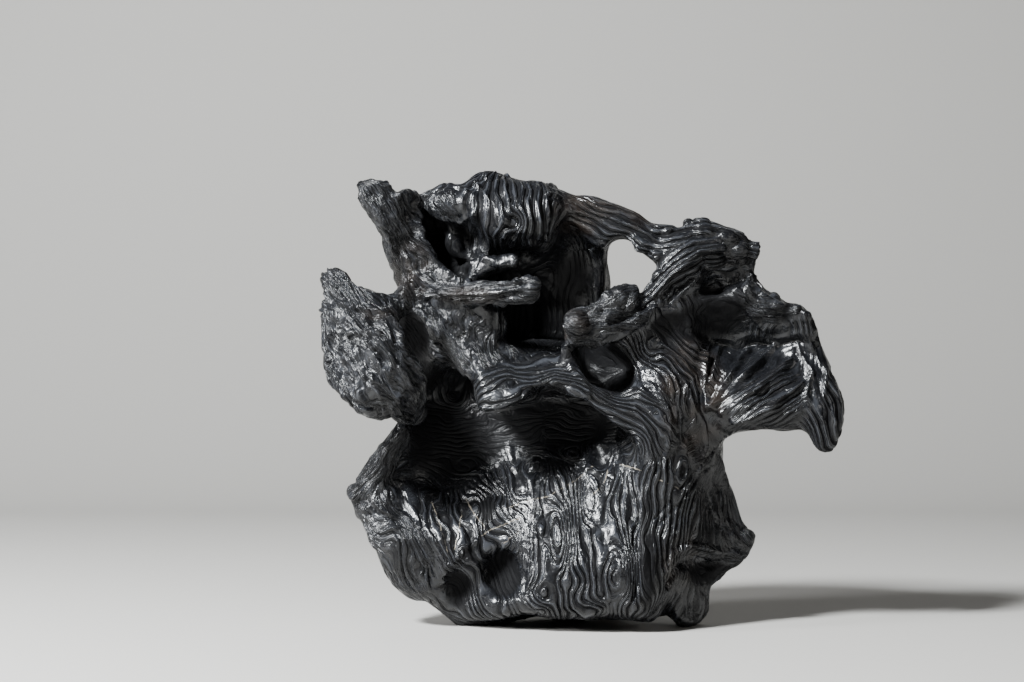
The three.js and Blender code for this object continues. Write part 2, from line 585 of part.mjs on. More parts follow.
// The ridges and flutes of the front
function addFrontRelief(clay) {
  const browFlutes = [
    [[478, 180], [476, 200], [480, 222]], [[489, 178], [490, 205], [488, 236]],
    [[500, 178], [499, 205], [503, 236]], [[524, 186], [523, 210], [528, 240]],
    [[536, 186], [537, 208], [541, 238]], [[548, 190], [550, 208], [554, 226]],
  ];
  browFlutes.forEach((line) => ridge(clay, line, 5, 3));
  const leafRidges = [
    [[330, 288], [350, 303], [372, 309], [388, 320], [396, 340], [404, 356], [418, 372], [420, 400]],
    [[332, 310], [350, 330], [372, 350], [392, 372], [408, 396]],
    [[328, 334], [344, 356], [362, 376], [380, 398]],
    [[346, 336], [362, 333], [378, 334]], [[330, 366], [346, 384], [362, 402]],
  ];
  leafRidges.forEach((line) => ridge(clay, line, 6, 3.5));
  const apronFlutes = [
    [[552, 450], [556, 480], [560, 520], [572, 560], [578, 600]],
    [[590, 455], [592, 500], [596, 550], [600, 604]],
    [[612, 450], [616, 500], [612, 552], [616, 606]],
    [[530, 470], [534, 510], [546, 556], [548, 600]],
    [[647, 480], [646, 520], [648, 560], [648, 604]],
    [[380, 505], [396, 535], [418, 562], [430, 590]], [[404, 500], [424, 535], [440, 560]],
    [[472, 490], [486, 512], [498, 530]], [[455, 540], [462, 560], [475, 580]],
    [[535, 458], [541, 468], [535, 474]],
  ];
  apronFlutes.forEach((line) => ridge(clay, line, 7, 3));
  const flankRidges = [
    [[640, 392], [660, 420], [684, 450], [700, 470]], [[652, 356], [676, 380], [692, 410], [700, 440]],
    [[664, 480], [680, 500], [700, 520]], [[715, 455], [722, 480], [728, 505], [740, 525]],
  ];
  flankRidges.forEach((line) => ridge(clay, line, 6, 3));
  const wingRidges = [
    [[738, 292], [762, 300], [786, 312], [806, 330], [812, 350]], [[660, 306], [696, 304], [726, 298]],
    [[707, 410], [716, 380], [726, 356]], [[712, 412], [736, 382], [756, 356]],
    [[716, 420], [752, 398], [786, 366]], [[800, 360], [812, 374], [804, 396]],
    [[826, 372], [836, 400], [834, 430]], [[752, 296], [766, 312], [770, 332]],
    [[724, 304], [720, 324], [716, 338]], [[690, 308], [688, 326], [682, 340]],
  ];
  wingRidges.forEach((line) => ridge(clay, line, 6, 3));
  const bridgeRidges = [
    [[590, 206], [620, 220], [650, 234], [682, 244]],
    [[650, 294], [662, 284], [672, 270], [690, 259], [704, 251], [722, 250]],
    [[672, 302], [682, 292], [696, 286], [704, 272]], [[690, 228], [712, 230], [740, 242]],
  ];
  bridgeRidges.forEach((line) => ridge(clay, line, 6, 4));
  const neckRidges = [
    [[405, 300], [425, 322], [446, 336]], [[376, 205], [394, 240], [412, 270], [440, 290]],
    [[444, 320], [458, 344], [480, 368], [484, 400]], [[575, 342], [566, 350], [574, 370], [590, 392]],
    [[484, 410], [520, 396], [556, 386], [584, 395]], [[403, 424], [388, 446], [374, 464], [356, 490]],
  ];
  neckRidges.forEach((line) => ridge(clay, line, 6, 3.5));
  const grooves = [
    [[634, 484], [636, 530], [634, 570], [640, 604]], [[504, 295], [518, 294]],
    [[786, 302], [786, 322]], [[514, 214], [515, 226]], [[383, 352], [384, 372]],
    [[370, 190], [390, 198]], [[660, 360], [680, 372], [690, 392]], [[520, 560], [524, 590]],
    [[420, 560], [446, 596]], [[730, 400], [770, 390], [800, 400]],
  ];
  grooves.forEach((line) => groove(clay, line, 5, 4));
}

// The relief of the back, which is broader and smoother: shallow basins between worn spurs and knobs
function addBackRelief(clay) {
  const basins = [
    [[470, 470, 154], [38, 40, 42]], [[655, 400, 130], [34, 42, 34]], [[560, 285, 130], [34, 38, 26]],
    [[600, 540, 160], [40, 46, 30]], [[430, 350, 104], [22, 36, 24]], [[744, 352, 80], [40, 38, 24]],
    [[660, 505, 156], [26, 44, 26]], [[490, 210, 66], [24, 30, 14]], [[520, 575, 152], [24, 42, 24]],
    [[548, 392, 156], [22, 34, 30]], [[410, 520, 96], [22, 34, 26]], [[700, 262, 40], [16, 20, 14]],
  ];
  basins.forEach(([middle, halves]) => clay.cut(egg(middle, halves), 14));
  const spurs = [
    [[520, 196, 30, 12], [540, 240, 66, 16], [548, 310, 98, 20], [580, 350, 106, 20], [606, 400, 104, 16]],
    [[480, 250, 66, 16], [500, 320, 92, 22], [500, 400, 100, 26], [520, 450, 112, 22], [556, 500, 120, 20]],
    [[578, 252, 50, 14], [608, 330, 74, 20], [680, 366, 60, 20], [740, 392, 36, 14], [800, 408, 18, 10]],
    [[700, 440, 64, 20], [690, 480, 78, 22], [710, 520, 72, 18], [700, 570, 56, 16]],
    [[396, 232, 4, 10], [416, 290, 36, 16], [440, 350, 70, 18], [424, 420, 66, 16], [392, 470, 36, 12]],
    [[440, 560, 70, 20], [480, 590, 70, 22], [510, 560, 96, 20]],
    [[620, 470, 116, 18], [640, 540, 96, 22], [606, 580, 88, 22]],
    [[750, 292, 14, 10], [790, 332, 20, 11], [822, 380, 16, 9]],
  ];
  spurs.forEach((points) => clay.add(limb(points), 16));
  const knobs = [
    [[470, 300, 86], [16, 14, 20]], [[590, 440, 124], [24, 16, 18]], [[452, 500, 84], [20, 18, 16]],
    [[650, 350, 78], [20, 16, 14]], [[560, 560, 120], [22, 16, 24]], [[380, 500, 34], [14, 12, 16]],
    [[420, 240, 26], [10, 10, 16]], [[730, 540, 52], [12, 14, 14]], [[576, 220, 40], [16, 12, 12]],
  ];
  knobs.forEach(([middle, halves]) => clay.add(egg(middle, halves), 12));
  const grooves = [
    [[520, 210], [505, 260], [478, 330], [470, 400]], [[540, 430], [530, 490], [548, 560]],
    [[640, 360], [655, 420], [664, 490], [650, 560]], [[720, 320], [770, 360], [800, 400]],
    [[400, 470], [425, 520], [412, 570]], [[596, 300], [600, 350], [580, 420]],
  ];
  grooves.forEach((line) => groove(clay, line, 7, 5, true));
}

// The swell of the worn layers, slight in front and stronger behind
function addSwell(clay) {
  clay.work(blockLow, blockHigh, 0, (old, x, y, z) => {
    const behind = Math.min(Math.max((y - 20) / 60, 0), 1);
    const upright = Math.sin(x / 17 + 1.6 * Math.sin(z / 37));
    const level = Math.sin(z / 21 + 1.4 * Math.sin(y / 26 + x / 61));
    const fine = Math.sin(x / 8.5 + 2 * Math.sin(z / 24) + y / 15) * Math.sin(z / 13 + y / 9);
    return old + (1.4 + 2.6 * behind) * upright * level + (1 + behind) * fine;
  });
}

// The surface of the clay as triangles that share their corners
function skinOf(clay) {
  const ring = [[0, 0], [1, 0], [1, 1], [0, 1]];
  const corners = [...ring.map(([a, b]) => [a, b, 0]), ...ring.map(([a, b]) => [a, b, 1])];
  const edges = [[0, 1], [1, 2], [2, 3], [3, 0], [4, 5], [5, 6], [6, 7], [7, 4],
    [0, 4], [1, 5], [2, 6], [3, 7]];
  const places = [];
  const faces = [];
  const known = new Map();
  const [wide, deep, tall] = clay.count;
  const crossing = (from, to) => {
    const [a, b] = [clay.index(...from), clay.index(...to)];
    const key = Math.min(a, b) * 4 + [1, wide, wide * deep].indexOf(Math.abs(a - b));
    if (!known.has(key)) {
      const met = clay.values[a] / (clay.values[a] - clay.values[b]);
      const t = Math.min(Math.max(met, leastStep), 1 - leastStep);
      places.push(from.map((v, axis) => clay.low[axis] + clay.step * (v + t * (to[axis] - v))));
      known.set(key, places.length - 1);
    }
    return known.get(key);
  };
  for (let k = 0; k < tall - 1; k += 1) {
    for (let j = 0; j < deep - 1; j += 1) {
      for (let i = 0; i < wide - 1; i += 1) {
        const here = corners.map(([a, b, c]) => [i + a, j + b, k + c]);
        const within = here.map((corner) => clay.values[clay.index(...corner)] < 0);
        const code = within.reduce((sum, yes, n) => sum + (yes ? 1 << n : 0), 0);
        const cut = edges.map(([a, b], n) => (edgeTable[code] & (1 << n) ? crossing(here[a], here[b]) : -1));
        for (let n = code * 16; triTable[n] !== -1; n += 3) {
          faces.push([cut[triTable[n]], cut[triTable[n + 1]], cut[triTable[n + 2]]]);
        }
      }
    }
  }
  return { places, faces };
}

// Keeps the largest connected skin, without loose crumbs and sealed bubbles
function largestOf({ places, faces }) {
  const parent = places.map((place, n) => n);
  const rootOf = (n) => {
    let at = n;
    while (parent[at] !== at) {
      parent[at] = parent[parent[at]];
      at = parent[at];
    }
    return at;
  };
  faces.forEach(([a, b, c]) => {
    parent[rootOf(a)] = rootOf(b);
    parent[rootOf(b)] = rootOf(c);
  });
  const sizes = new Map();
  faces.forEach(([a]) => sizes.set(rootOf(a), (sizes.get(rootOf(a)) ?? 0) + 1));
  const main = [...sizes.entries()].sort((a, b) => b[1] - a[1])[0][0];
  return { places, faces: faces.filter(([a]) => rootOf(a) === main) };
}

const minus = (a, b) => [a[0] - b[0], a[1] - b[1], a[2] - b[2]];
const dot = (a, b) => a[0] * b[0] + a[1] * b[1] + a[2] * b[2];
const cross = (a, b) => [a[1] * b[2] - a[2] * b[1], a[2] * b[0] - a[0] * b[2], a[0] * b[1] - a[1] * b[0]];

// How full a triangle is: 1 where its sides are equal, near 0 where it is a sliver
function fullness([a, b, c]) {
  const area = Math.hypot(...cross(minus(b, a), minus(c, a)));
  const sides = [minus(b, a), minus(c, b), minus(a, c)].map((side) => dot(side, side));
  return 2 * Math.sqrt(3) * area / (sides[0] + sides[1] + sides[2]);
}

// Merges edges of the skin, the least needed first, until only the number of faces asked for is left
class Thinner {
  constructor({ places, faces }) {
    this.places = places;
    this.faces = faces.map((face) => [...face]);
    this.left = faces.length;
    this.touching = places.map(() => new Set());
    this.error = places.map(() => new Float64Array(10));
    this.age = new Int32Array(places.length);
    this.queue = [];
    this.faces.forEach((face, n) => {
      face.forEach((corner) => this.touching[corner].add(n));
      this.addPlane(face);
    });
  }

  offerAll() {
    const live = this.faces.filter((face) => face.length === 3);
    const sides = live.flatMap(([a, b, c]) => [[a, b], [b, c], [c, a]]);
    sides.filter(([a, b]) => a < b).forEach(([a, b]) => this.offer(a, b));
  }

  addPlane(face) {
    const [a, b, c] = face.map((corner) => this.places[corner]);
    const tall = cross(minus(b, a), minus(c, a));
    const area = Math.hypot(...tall) + 1e-12;
    const [x, y, z] = tall.map((v) => v / area);
    const w = -dot([x, y, z], a);
    const parts = [x * x, x * y, x * z, x * w, y * y, y * z, y * w, z * z, z * w, w * w];
    face.forEach((corner) => parts.forEach((v, n) => {
      this.error[corner][n] += v * area;
    }));
  }

  costAt(q, [x, y, z]) {
    return q[0] * x * x + 2 * q[1] * x * y + 2 * q[2] * x * z + 2 * q[3] * x + q[4] * y * y
      + 2 * q[5] * y * z + 2 * q[6] * y + q[7] * z * z + 2 * q[8] * z + q[9];
  }

  // The best place for two merged corners: where their planes meet, or the middle
  bestPlace(q, a, b) {
    const middle = a.map((v, n) => (v + b[n]) / 2);
    const [r0, r1, r2] = [[q[0], q[1], q[2]], [q[1], q[4], q[5]], [q[2], q[5], q[7]]];
    const size = dot(r0, cross(r1, r2));
    const scale = q[0] + q[4] + q[7];
    if (Math.abs(size) < 1e-4 * scale ** 3) {
      return middle;
    }
    const right = [-q[3], -q[6], -q[8]];
    const [c12, c20, c01] = [cross(r1, r2), cross(r2, r0), cross(r0, r1)];
    const met = [0, 1, 2].map((n) => (right[0] * c12[n] + right[1] * c20[n] + right[2] * c01[n]) / size);
    const reach = Math.hypot(...minus(a, b));
    return Math.hypot(...minus(met, middle)) < reach ? met : middle;
  }

  offer(a, b) {
    const q = this.error[a].map((v, n) => v + this.error[b][n]);
    const place = this.bestPlace(q, this.places[a], this.places[b]);
    const length = Math.hypot(...minus(this.places[a], this.places[b]));
    const cost = this.costAt(q, place) + evenness * length * length;
    this.push({ cost, a, b, place, ages: this.age[a] + this.age[b] });
  }

  push(entry) {
    const heap = this.queue;
    let at = heap.push(entry) - 1;
    while (at > 0 && heap[(at - 1) >> 1].cost > heap[at].cost) {
      [heap[(at - 1) >> 1], heap[at]] = [heap[at], heap[(at - 1) >> 1]];
      at = (at - 1) >> 1;
    }
  }

  pop() {
    const heap = this.queue;
    const top = heap[0];
    const last = heap.pop();
    if (heap.length > 0) {
      heap[0] = last;
      let at = 0;
      for (;;) {
        const [left, right] = [2 * at + 1, 2 * at + 2];
        let least = left < heap.length && heap[left].cost < heap[at].cost ? left : at;
        least = right < heap.length && heap[right].cost < heap[least].cost ? right : least;
        if (least === at) {
          break;
        }
        [heap[at], heap[least]] = [heap[least], heap[at]];
        at = least;
      }
    }
    return top;
  }

  beside(corner) {
    return new Set([...this.touching[corner]].flatMap((n) => this.faces[n]).filter((n) => n !== corner));
  }

  // A merge is sound when it pinches nothing and turns no face over
  sound(a, b, place, slimmest) {
    const shared = [...this.beside(a)].filter((n) => this.beside(b).has(n));
    if (shared.length !== 2) {
      return false;
    }
    const kept = [...this.touching[a], ...this.touching[b]]
      .filter((n) => !(this.faces[n].includes(a) && this.faces[n].includes(b)));
    return kept.every((n) => {
      const before = this.faces[n].map((corner) => this.places[corner]);
      const moved = (corner) => (corner === a || corner === b ? place : this.places[corner]);
      const after = this.faces[n].map(moved);
      const was = cross(minus(before[1], before[0]), minus(before[2], before[0]));
      const is = cross(minus(after[1], after[0]), minus(after[2], after[0]));
      return dot(was, is) > leastTurn * Math.hypot(...was) * Math.hypot(...is)
        && fullness(after) > Math.min(slimmest, fullness(before));
    });
  }

  merge(a, b, place) {
    this.places[a] = place;
    this.error[a] = this.error[a].map((v, n) => v + this.error[b][n]);
    this.age[a] += this.age[b] + 1;
    this.age[b] = -1e9;
    [...this.touching[b]].forEach((n) => {
      const face = this.faces[n];
      if (face.includes(a)) {
        face.forEach((corner) => this.touching[corner].delete(n));
        this.faces[n] = [];
        this.left -= 1;
      } else {
        face[face.indexOf(b)] = a;
        this.touching[a].add(n);
      }
    });
    this.touching[b].clear();
    this.beside(a).forEach((n) => this.offer(a, n));
  }

  thinTo(count) {
    for (const slimmest of leastFullness) {
      this.offerAll();
      while (this.left > count && this.queue.length > 0) {
        const { a, b, place, ages } = this.pop();
        if (this.age[a] + this.age[b] === ages && this.sound(a, b, place, slimmest)) {
          this.merge(a, b, place);
        }
      }
    }
    return { places: this.places, faces: this.faces.filter((face) => face.length === 3) };
  }
}

// A closed skin as a geometry whose faces share their corners
function geometryOf({ places, faces }) {
  const geometry = new THREE.BufferGeometry();
  geometry.setAttribute('position', new THREE.Float32BufferAttribute(places.flat(), 3));
  geometry.setIndex(faces.flat());
  return geometry;
}

// Only the corners in use, with the faces pointing out
function outward({ places, faces }) {
  const used = [...new Set(faces.flat())];
  const place = new Map(used.map((corner, n) => [corner, n]));
  const volume = faces.reduce((sum, [a, b, c]) =>
    sum + dot(places[a], cross(places[b], places[c])), 0);
  const turned = faces.map(([a, b, c]) => (volume > 0 ? [a, b, c] : [a, c, b]));
  const renamed = turned.map((face) => face.map((corner) => place.get(corner)));
  return { places: used.map((corner) => places[corner]), faces: renamed };
}

const wasm = await Module();
wasm.setup();

function solidOf(geometry) {
  return new wasm.Manifold(new wasm.Mesh({
    numProp: 3,
    vertProperties: new Float32Array(geometry.getAttribute('position').array),
    triVerts: new Uint32Array(geometry.getIndex().array),
  }));
}

// The table top cuts the feet flat, so the stone stands
function standing(geometry) {
  const below = new THREE.BoxGeometry(900, 900, 100).translate(0, 0, -50);
  below.deleteAttribute('normal');
  below.deleteAttribute('uv');
  const cut = solidOf(geometry).subtract(solidOf(mergeVertices(below))).getMesh();
  const stood = new THREE.BufferGeometry();
  stood.setAttribute('position', new THREE.BufferAttribute(new Float32Array(cut.vertProperties), 3));
  stood.setIndex(new THREE.BufferAttribute(new Uint32Array(cut.triVerts), 1));
  return stood;
}

function makeStone() {
  const clay = new Clay(blockLow, blockHigh, grainSize);
  addBelly(clay);
  addCore(clay);
  addBrow(clay);
  addHorn(clay);
  addSaddle(clay);
  addShoulder(clay);
  addWing(clay);
  addBridge(clay);
  addFeet(clay);
  cutHollows(clay);
  addLedge(clay);
  addLeaf(clay);
  addFist(clay);
  addLip(clay);
  addBackRelief(clay);
  addSwell(clay);
  addFrontRelief(clay);
  const skin = outward(largestOf(skinOf(clay)));
  const thinned = outward(new Thinner(skin).thinTo(mostFaces));
  const geometry = standing(geometryOf(thinned));
  geometry.computeBoundingBox();
  const middle = geometry.boundingBox.getCenter(new THREE.Vector3());
  const stone = new THREE.Mesh(geometry, new THREE.MeshStandardMaterial({
    color: 0x15171a, roughness: 0.34, metalness: 0,
  }));
  stone.name = 'stone';
  stone.position.set(-middle.x, -middle.y, 0);
  return stone;
}

const rock = new THREE.Group();
rock.add(makeStone());
export default rock;
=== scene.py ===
import bpy
import numpy as np
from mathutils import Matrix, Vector
from mathutils.bvhtree import BVHTree


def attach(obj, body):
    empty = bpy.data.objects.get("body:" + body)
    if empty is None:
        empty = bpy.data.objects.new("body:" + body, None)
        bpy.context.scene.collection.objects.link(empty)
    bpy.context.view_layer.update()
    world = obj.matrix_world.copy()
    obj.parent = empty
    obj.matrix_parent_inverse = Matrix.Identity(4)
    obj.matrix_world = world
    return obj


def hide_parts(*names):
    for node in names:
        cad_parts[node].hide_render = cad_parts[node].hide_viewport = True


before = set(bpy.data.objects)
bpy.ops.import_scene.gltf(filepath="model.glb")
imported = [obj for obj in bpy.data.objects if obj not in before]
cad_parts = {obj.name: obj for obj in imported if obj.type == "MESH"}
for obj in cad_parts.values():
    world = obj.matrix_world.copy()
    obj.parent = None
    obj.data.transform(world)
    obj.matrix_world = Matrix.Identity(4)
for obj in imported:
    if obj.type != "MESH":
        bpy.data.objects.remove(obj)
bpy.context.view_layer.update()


# The camera
# It stands 2.4 m in front of the stone and looks level at it, with its eye 286 mm above the table
# and a little to the left, as in the photograph.
MM = 0.001
lens_mm = 85
sensor_mm = 36
eye_distance = 2418
eye_height = 286
eye_across = 512
eye_down = 341
middle_across = 582.5
solid_shift = np.array([-1.2485, -21.783, 0.0])
eye = np.array([eye_across - middle_across, -eye_distance, eye_height]) + solid_shift

camera_data = bpy.data.cameras.new("eye")
camera_data.lens = lens_mm
camera_data.sensor_width = sensor_mm
camera = bpy.data.objects.new("eye", camera_data)
camera.location = Vector(eye) * MM
camera.rotation_euler = (np.pi / 2, 0, 0)
bpy.context.scene.collection.objects.link(camera)
bpy.context.scene.camera = camera


# The stone: its worn form
# One piece of dark limestone. Water has eaten it down to folded layers, so its whole surface runs in
# ridges and grooves that follow each limb, and years of waxing have polished the crests.
merge_gap = 0.01 * MM
rounding_levels = 2
remesh_cell = 1.5 * MM
smoothing_rounds = 6
face_limit = 198000

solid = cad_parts["stone"]
stone = solid.copy()
stone.data = solid.data.copy()
stone.name = "waxed_stone"
bpy.context.scene.collection.objects.link(stone)


def take_in_hand(piece):
    bpy.ops.object.select_all(action="DESELECT")
    piece.select_set(True)
    bpy.context.view_layer.objects.active = piece


def apply_modifier(piece, kind, **settings):
    modifier = piece.modifiers.new(kind.lower(), kind)
    for name, value in settings.items():
        setattr(modifier, name, value)
    bpy.ops.object.modifier_apply(modifier=modifier.name)


take_in_hand(stone)
bpy.ops.object.mode_set(mode="EDIT")
bpy.ops.mesh.select_all(action="SELECT")
bpy.ops.mesh.remove_doubles(threshold=merge_gap)
bpy.ops.object.mode_set(mode="OBJECT")
apply_modifier(stone, "SUBSURF", levels=rounding_levels, render_levels=rounding_levels)
apply_modifier(stone, "REMESH", mode="VOXEL", voxel_size=remesh_cell)
apply_modifier(stone, "SMOOTH", factor=0.5, iterations=smoothing_rounds)


def read_points(mesh, kind="co"):
    flat = np.empty(len(mesh.vertices) * 3, np.float32)
    mesh.vertices.foreach_get(kind, flat)
    return flat.reshape(-1, 3).astype(float)


def to_stone(place):
    """From the front-view sheet, in millimetres across, down and deep, to the stone's own frame."""
    across, down, depth = place
    spread = 1 + depth / eye_distance
    x = eye_across - middle_across + (across - eye_across) * spread
    return np.array([x, depth, eye_height + (eye_down - down) * spread]) + solid_shift


def noise(points, seed):
    """Smooth noise from -1 to 1, one swell for each whole step of the points."""
    cell = np.floor(points).astype(np.int64)
    part = points - cell
    part = part * part * (3 - 2 * part)
    total = np.zeros(len(points))
    for corner in range(8):
        bits = np.array([corner & 1, (corner >> 1) & 1, corner >> 2])
        at = cell + bits
        code = (at[:, 0] * 73856093) ^ (at[:, 1] * 19349663) ^ (at[:, 2] * 83492791) ^ (seed * 40503)
        code = ((code ^ (code >> 13)) * 1274126177) & 0xFFFFFFFF
        code = ((code ^ (code >> 16)) * 73244475) & 0xFFFFFFFF
        value = ((code >> 8) & 0xFFFF) / 32767.5 - 1
        total += np.prod(np.where(bits, part, 1 - part), axis=1) * value
    return total


# How the grain lies: lines run along each axis and round it. Each row is the axis on the sheet,
# its distance under the surface, its reach, and the spacing, height and waviness of the lines.
# On the broad faces the lines are long and loop round the swells.
long_grain = [
    ([(566, 440, 160), (574, 520, 104), (580, 620, 70)], 130, 64, 6.6, 3.8, 1.5),
    ([(648, 440, 20), (648, 520, 0), (650, 620, -10)], 50, 22, 6.6, 3.0, 1.2),
    ([(452, 450, 90), (474, 510, 60), (500, 570, 50)], 74, 34, 6.8, 3.6, 1.5),
    ([(400, 440, 66), (480, 452, 92), (560, 442, 90), (640, 440, 50)], 52, 34, 6.0, 1.1, 1.4),
    ([(482, 412, -34), (520, 398, -28), (556, 387, -26), (592, 396, -26), (634, 428, -22)],
     22, 20, 6.0, 1.6, 1.2),
    ([(508, 168, 22), (508, 215, 20), (508, 250, 24)], 56, 34, 9.0, 3.0, 0.9),
    ([(566, 196, 40), (580, 240, 60), (584, 300, 70)], 45, 26, 8.0, 2.0, 1.2),
    ([(640, 328, 30), (688, 376, 26), (706, 442, 40)], 50, 24, 6.5, 2.8, 1.4),
    ([(806, 346, 50), (818, 384, 40), (834, 444, 30)], 48, 24, 8.5, 3.2, 1.5),
    ([(706, 420, 34), (712, 380, 46), (718, 346, 60)], 50, 20, 5.0, 0.9, 0.7),
    ([(714, 424, 26), (742, 384, 40), (768, 350, 56)], 50, 20, 5.0, 0.9, 0.7),
    ([(722, 426, 24), (764, 396, 30), (802, 372, 44)], 50, 20, 5.0, 1.0, 0.7),
    ([(580, 208, 10), (620, 224, 4), (655, 240, 0), (690, 236, 2), (744, 248, 8)], 15, 14, 5.5, 2.2, 0.9),
    ([(648, 296, -12), (668, 276, -16), (700, 256, -14), (724, 252, -6)], 13, 11, 5.5, 2.4, 0.7),
]

# On the limbs and edges the lines are short, and they part and join like braids.
braided_grain = [
    ([(322, 285, -12), (358, 335, -24), (410, 402, -30)], 60, 34, 7.0, 5.0, 1.6),
    ([(374, 498, 56), (408, 550, 46), (444, 604, 54)], 72, 34, 7.0, 5.0, 1.4),
    ([(362, 188, -26), (392, 232, -14), (412, 272, 0), (436, 306, 14)], 20, 22, 5.5, 3.4, 0.8),
    ([(436, 188, -8), (450, 198, -10), (464, 214, -10)], 14, 12, 6.0, 2.4, 1.2),
    ([(436, 290, -28), (470, 291, -46), (531, 288, -58)], 10, 12, 6.0, 2.4, 0.7),
    ([(478, 268, -16), (500, 264, -26), (518, 263, -30)], 10, 10, 5.5, 2.0, 0.8),
    ([(470, 222, 2), (478, 262, -2)], 15, 12, 5.0, 2.2, 0.7),
    ([(428, 298, 34), (466, 350, 18), (490, 402, -6)], 52, 34, 7.0, 2.8, 1.8),
    ([(404, 422, -8), (376, 462, -6), (350, 496, 10)], 14, 14, 5.5, 2.2, 0.8),
    ([(660, 320, 40), (740, 318, 48), (816, 330, 40)], 42, 24, 7.0, 2.6, 1.3),
    ([(622, 392, 20), (656, 440, 24), (692, 506, 36), (704, 566, 60)], 68, 46, 5.5, 3.0, 1.6),
    ([(700, 228, 4), (750, 250, 10), (748, 286, 14)], 14, 13, 6.0, 2.6, 1.0),
    ([(672, 312, 2), (622, 318, -26), (574, 321, -38)], 14, 12, 6.0, 2.6, 1.2),
    ([(600, 306, -30), (626, 296, -26)], 11, 9, 5.5, 2.2, 1.2),
    ([(690, 566, 22), (694, 624, 16)], 22, 16, 7.0, 2.6, 1.0),
    ([(712, 470, 40), (728, 510, 44), (750, 542, 40)], 26, 16, 7.0, 2.4, 1.0),
    ([(398, 300, 36), (430, 362, 66)], 44, 22, 6.5, 1.4, 0.9),
]

# Between them a looser grain of the same kind fills what no limb reaches.
loose_grain = [
    ([(520, 190, 0), (556, 320, 40), (590, 450, 40), (600, 610, 30)], 76, 60, 10.0, 3.4, 1.5),
    ([(404, 230, -10), (424, 340, 20), (404, 470, 4)], 40, 34, 9.0, 3.0, 1.3),
    ([(640, 350, 0), (740, 372, 0), (826, 400, -10)], 40, 34, 9.0, 3.0, 1.3),
    ([(450, 440, 20), (470, 520, 20), (470, 610, 10)], 74, 50, 10.0, 3.0, 1.5),
    ([(700, 420, 20), (690, 500, 30), (700, 580, 20)], 50, 36, 8.0, 3.0, 1.3),
]

# Knots that push the lines aside and close some into loops: middle on the sheet, half sizes, and how
# many lines each one pushes.
knots = [
    (620, 572, 15, 32, 5.0), (560, 545, 12, 42, 3.6), (535, 465, 12, 11, 3.0), (531, 594, 16, 12, -1.8),
    (590, 500, 10, 30, -2.8), (505, 540, 14, 22, 2.8), (640, 445, 12, 18, 2.6),
    (575, 455, 14, 12, -3.2), (480, 505, 12, 18, 2.6), (600, 612, 14, 12, 2.6), (690, 470, 14, 20, 3.2),
    (516, 222, 9, 10, 2.4), (648, 350, 14, 14, -2.6), (395, 545, 14, 24, 2.8),
]


def crests(phase):
    """Rounded crests with narrow grooves between them, from 0 to 1, one for each whole phase."""
    return np.abs(np.sin(np.pi * phase)) ** 0.75


near_reaches = 2.6
hold = 6


class AxisGrain:
    """Lines that run along an axis inside the stone and are spaced evenly round it."""

    def __init__(self, number, braid, weight, places, under, reach, spacing, tall, wavy):
        self.braid = braid
        self.weight = weight / (1 + under / 60)
        self.axis = [to_stone(place) for place in places]
        self.number = number
        self.under = under
        self.reach = reach
        self.spacing = spacing
        self.tall = tall
        self.wavy = wavy
        self.lines = max(round(2 * np.pi * under / spacing), 3)

    def near(self, points):
        margin = self.under + near_reaches * self.reach
        low = np.min(self.axis, axis=0) - margin
        high = np.max(self.axis, axis=0) + margin
        return np.flatnonzero(np.all((points > low) & (points < high), axis=1))

    def lay(self, points, push):
        """How strongly this grain holds at each point, and its line count and way along there."""
        nearest = np.full(len(points), np.inf)
        turn = np.zeros(len(points))
        place = np.zeros((len(points), 3))
        travelled = 0.0
        last = len(self.axis) - 2
        for n, (start, end) in enumerate(zip(self.axis[:-1], self.axis[1:])):
            length = np.linalg.norm(end - start)
            way = (end - start) / length
            front = np.array([0.0, -1.0, 0.0])
            front -= way * front.dot(way)
            front /= np.linalg.norm(front)
            side = np.cross(way, front)
            along = (points - start) @ way
            clipped = np.clip(along, -np.inf if n == 0 else 0, np.inf if n == last else length)
            gap = points - start - np.outer(clipped, way)
            beyond = np.maximum(np.maximum(-along, along - length), 0)
            far = np.hypot(np.linalg.norm(gap, axis=1), 0.7 * beyond)
            closer = far < nearest
            sides, fronts = gap @ side, gap @ front
            nearest = np.where(closer, far, nearest)
            turn = np.where(closer, np.arctan2(sides, fronts) / (2 * np.pi), turn)
            here = np.stack([sides, fronts, travelled + clipped], 1)
            place = np.where(closer[:, None], here, place)
            travelled += length
        share = self.weight * np.exp(-((nearest - self.under) / self.reach) ** 2)
        grid = place / (self.spacing * np.array([3.0, 3.0, 7.0])) + self.number * 7.3
        sway = noise(grid, self.number) + 0.5 * noise(grid * 2.1, self.number + 50)
        phase = turn * self.lines + self.wavy * sway + push
        return share, phase, place[:, 2] / self.spacing


skin = BVHTree.FromObject(stone, bpy.context.evaluated_depsgraph_get())


def on_stone(across, down):
    """The point of the stone that the eye meets at this place on the sheet, or the nearest to it."""
    start = Vector(eye) * MM
    way = (Vector(to_stone((across, down, 0))) * MM - start).normalized()
    found = skin.ray_cast(start, way)[0]
    if found is None:
        tries = [skin.find_nearest(start + way * far * MM) for far in range(2340, 2540, 10)]
        found = min(tries, key=lambda hit: hit[3])[0]
    return np.array(found) / MM


knot_places = [(on_stone(*row[:2]), np.array([row[2], 30.0, row[3]]), row[4]) for row in knots]


def pushed(points):
    """How many lines the knots push the grain aside at each point."""
    lines = np.zeros(len(points))
    for middle, halves, strength in knot_places:
        gap = (points - middle) / halves
        lines += strength * np.exp(-np.sum(gap * gap, axis=1))
    return lines


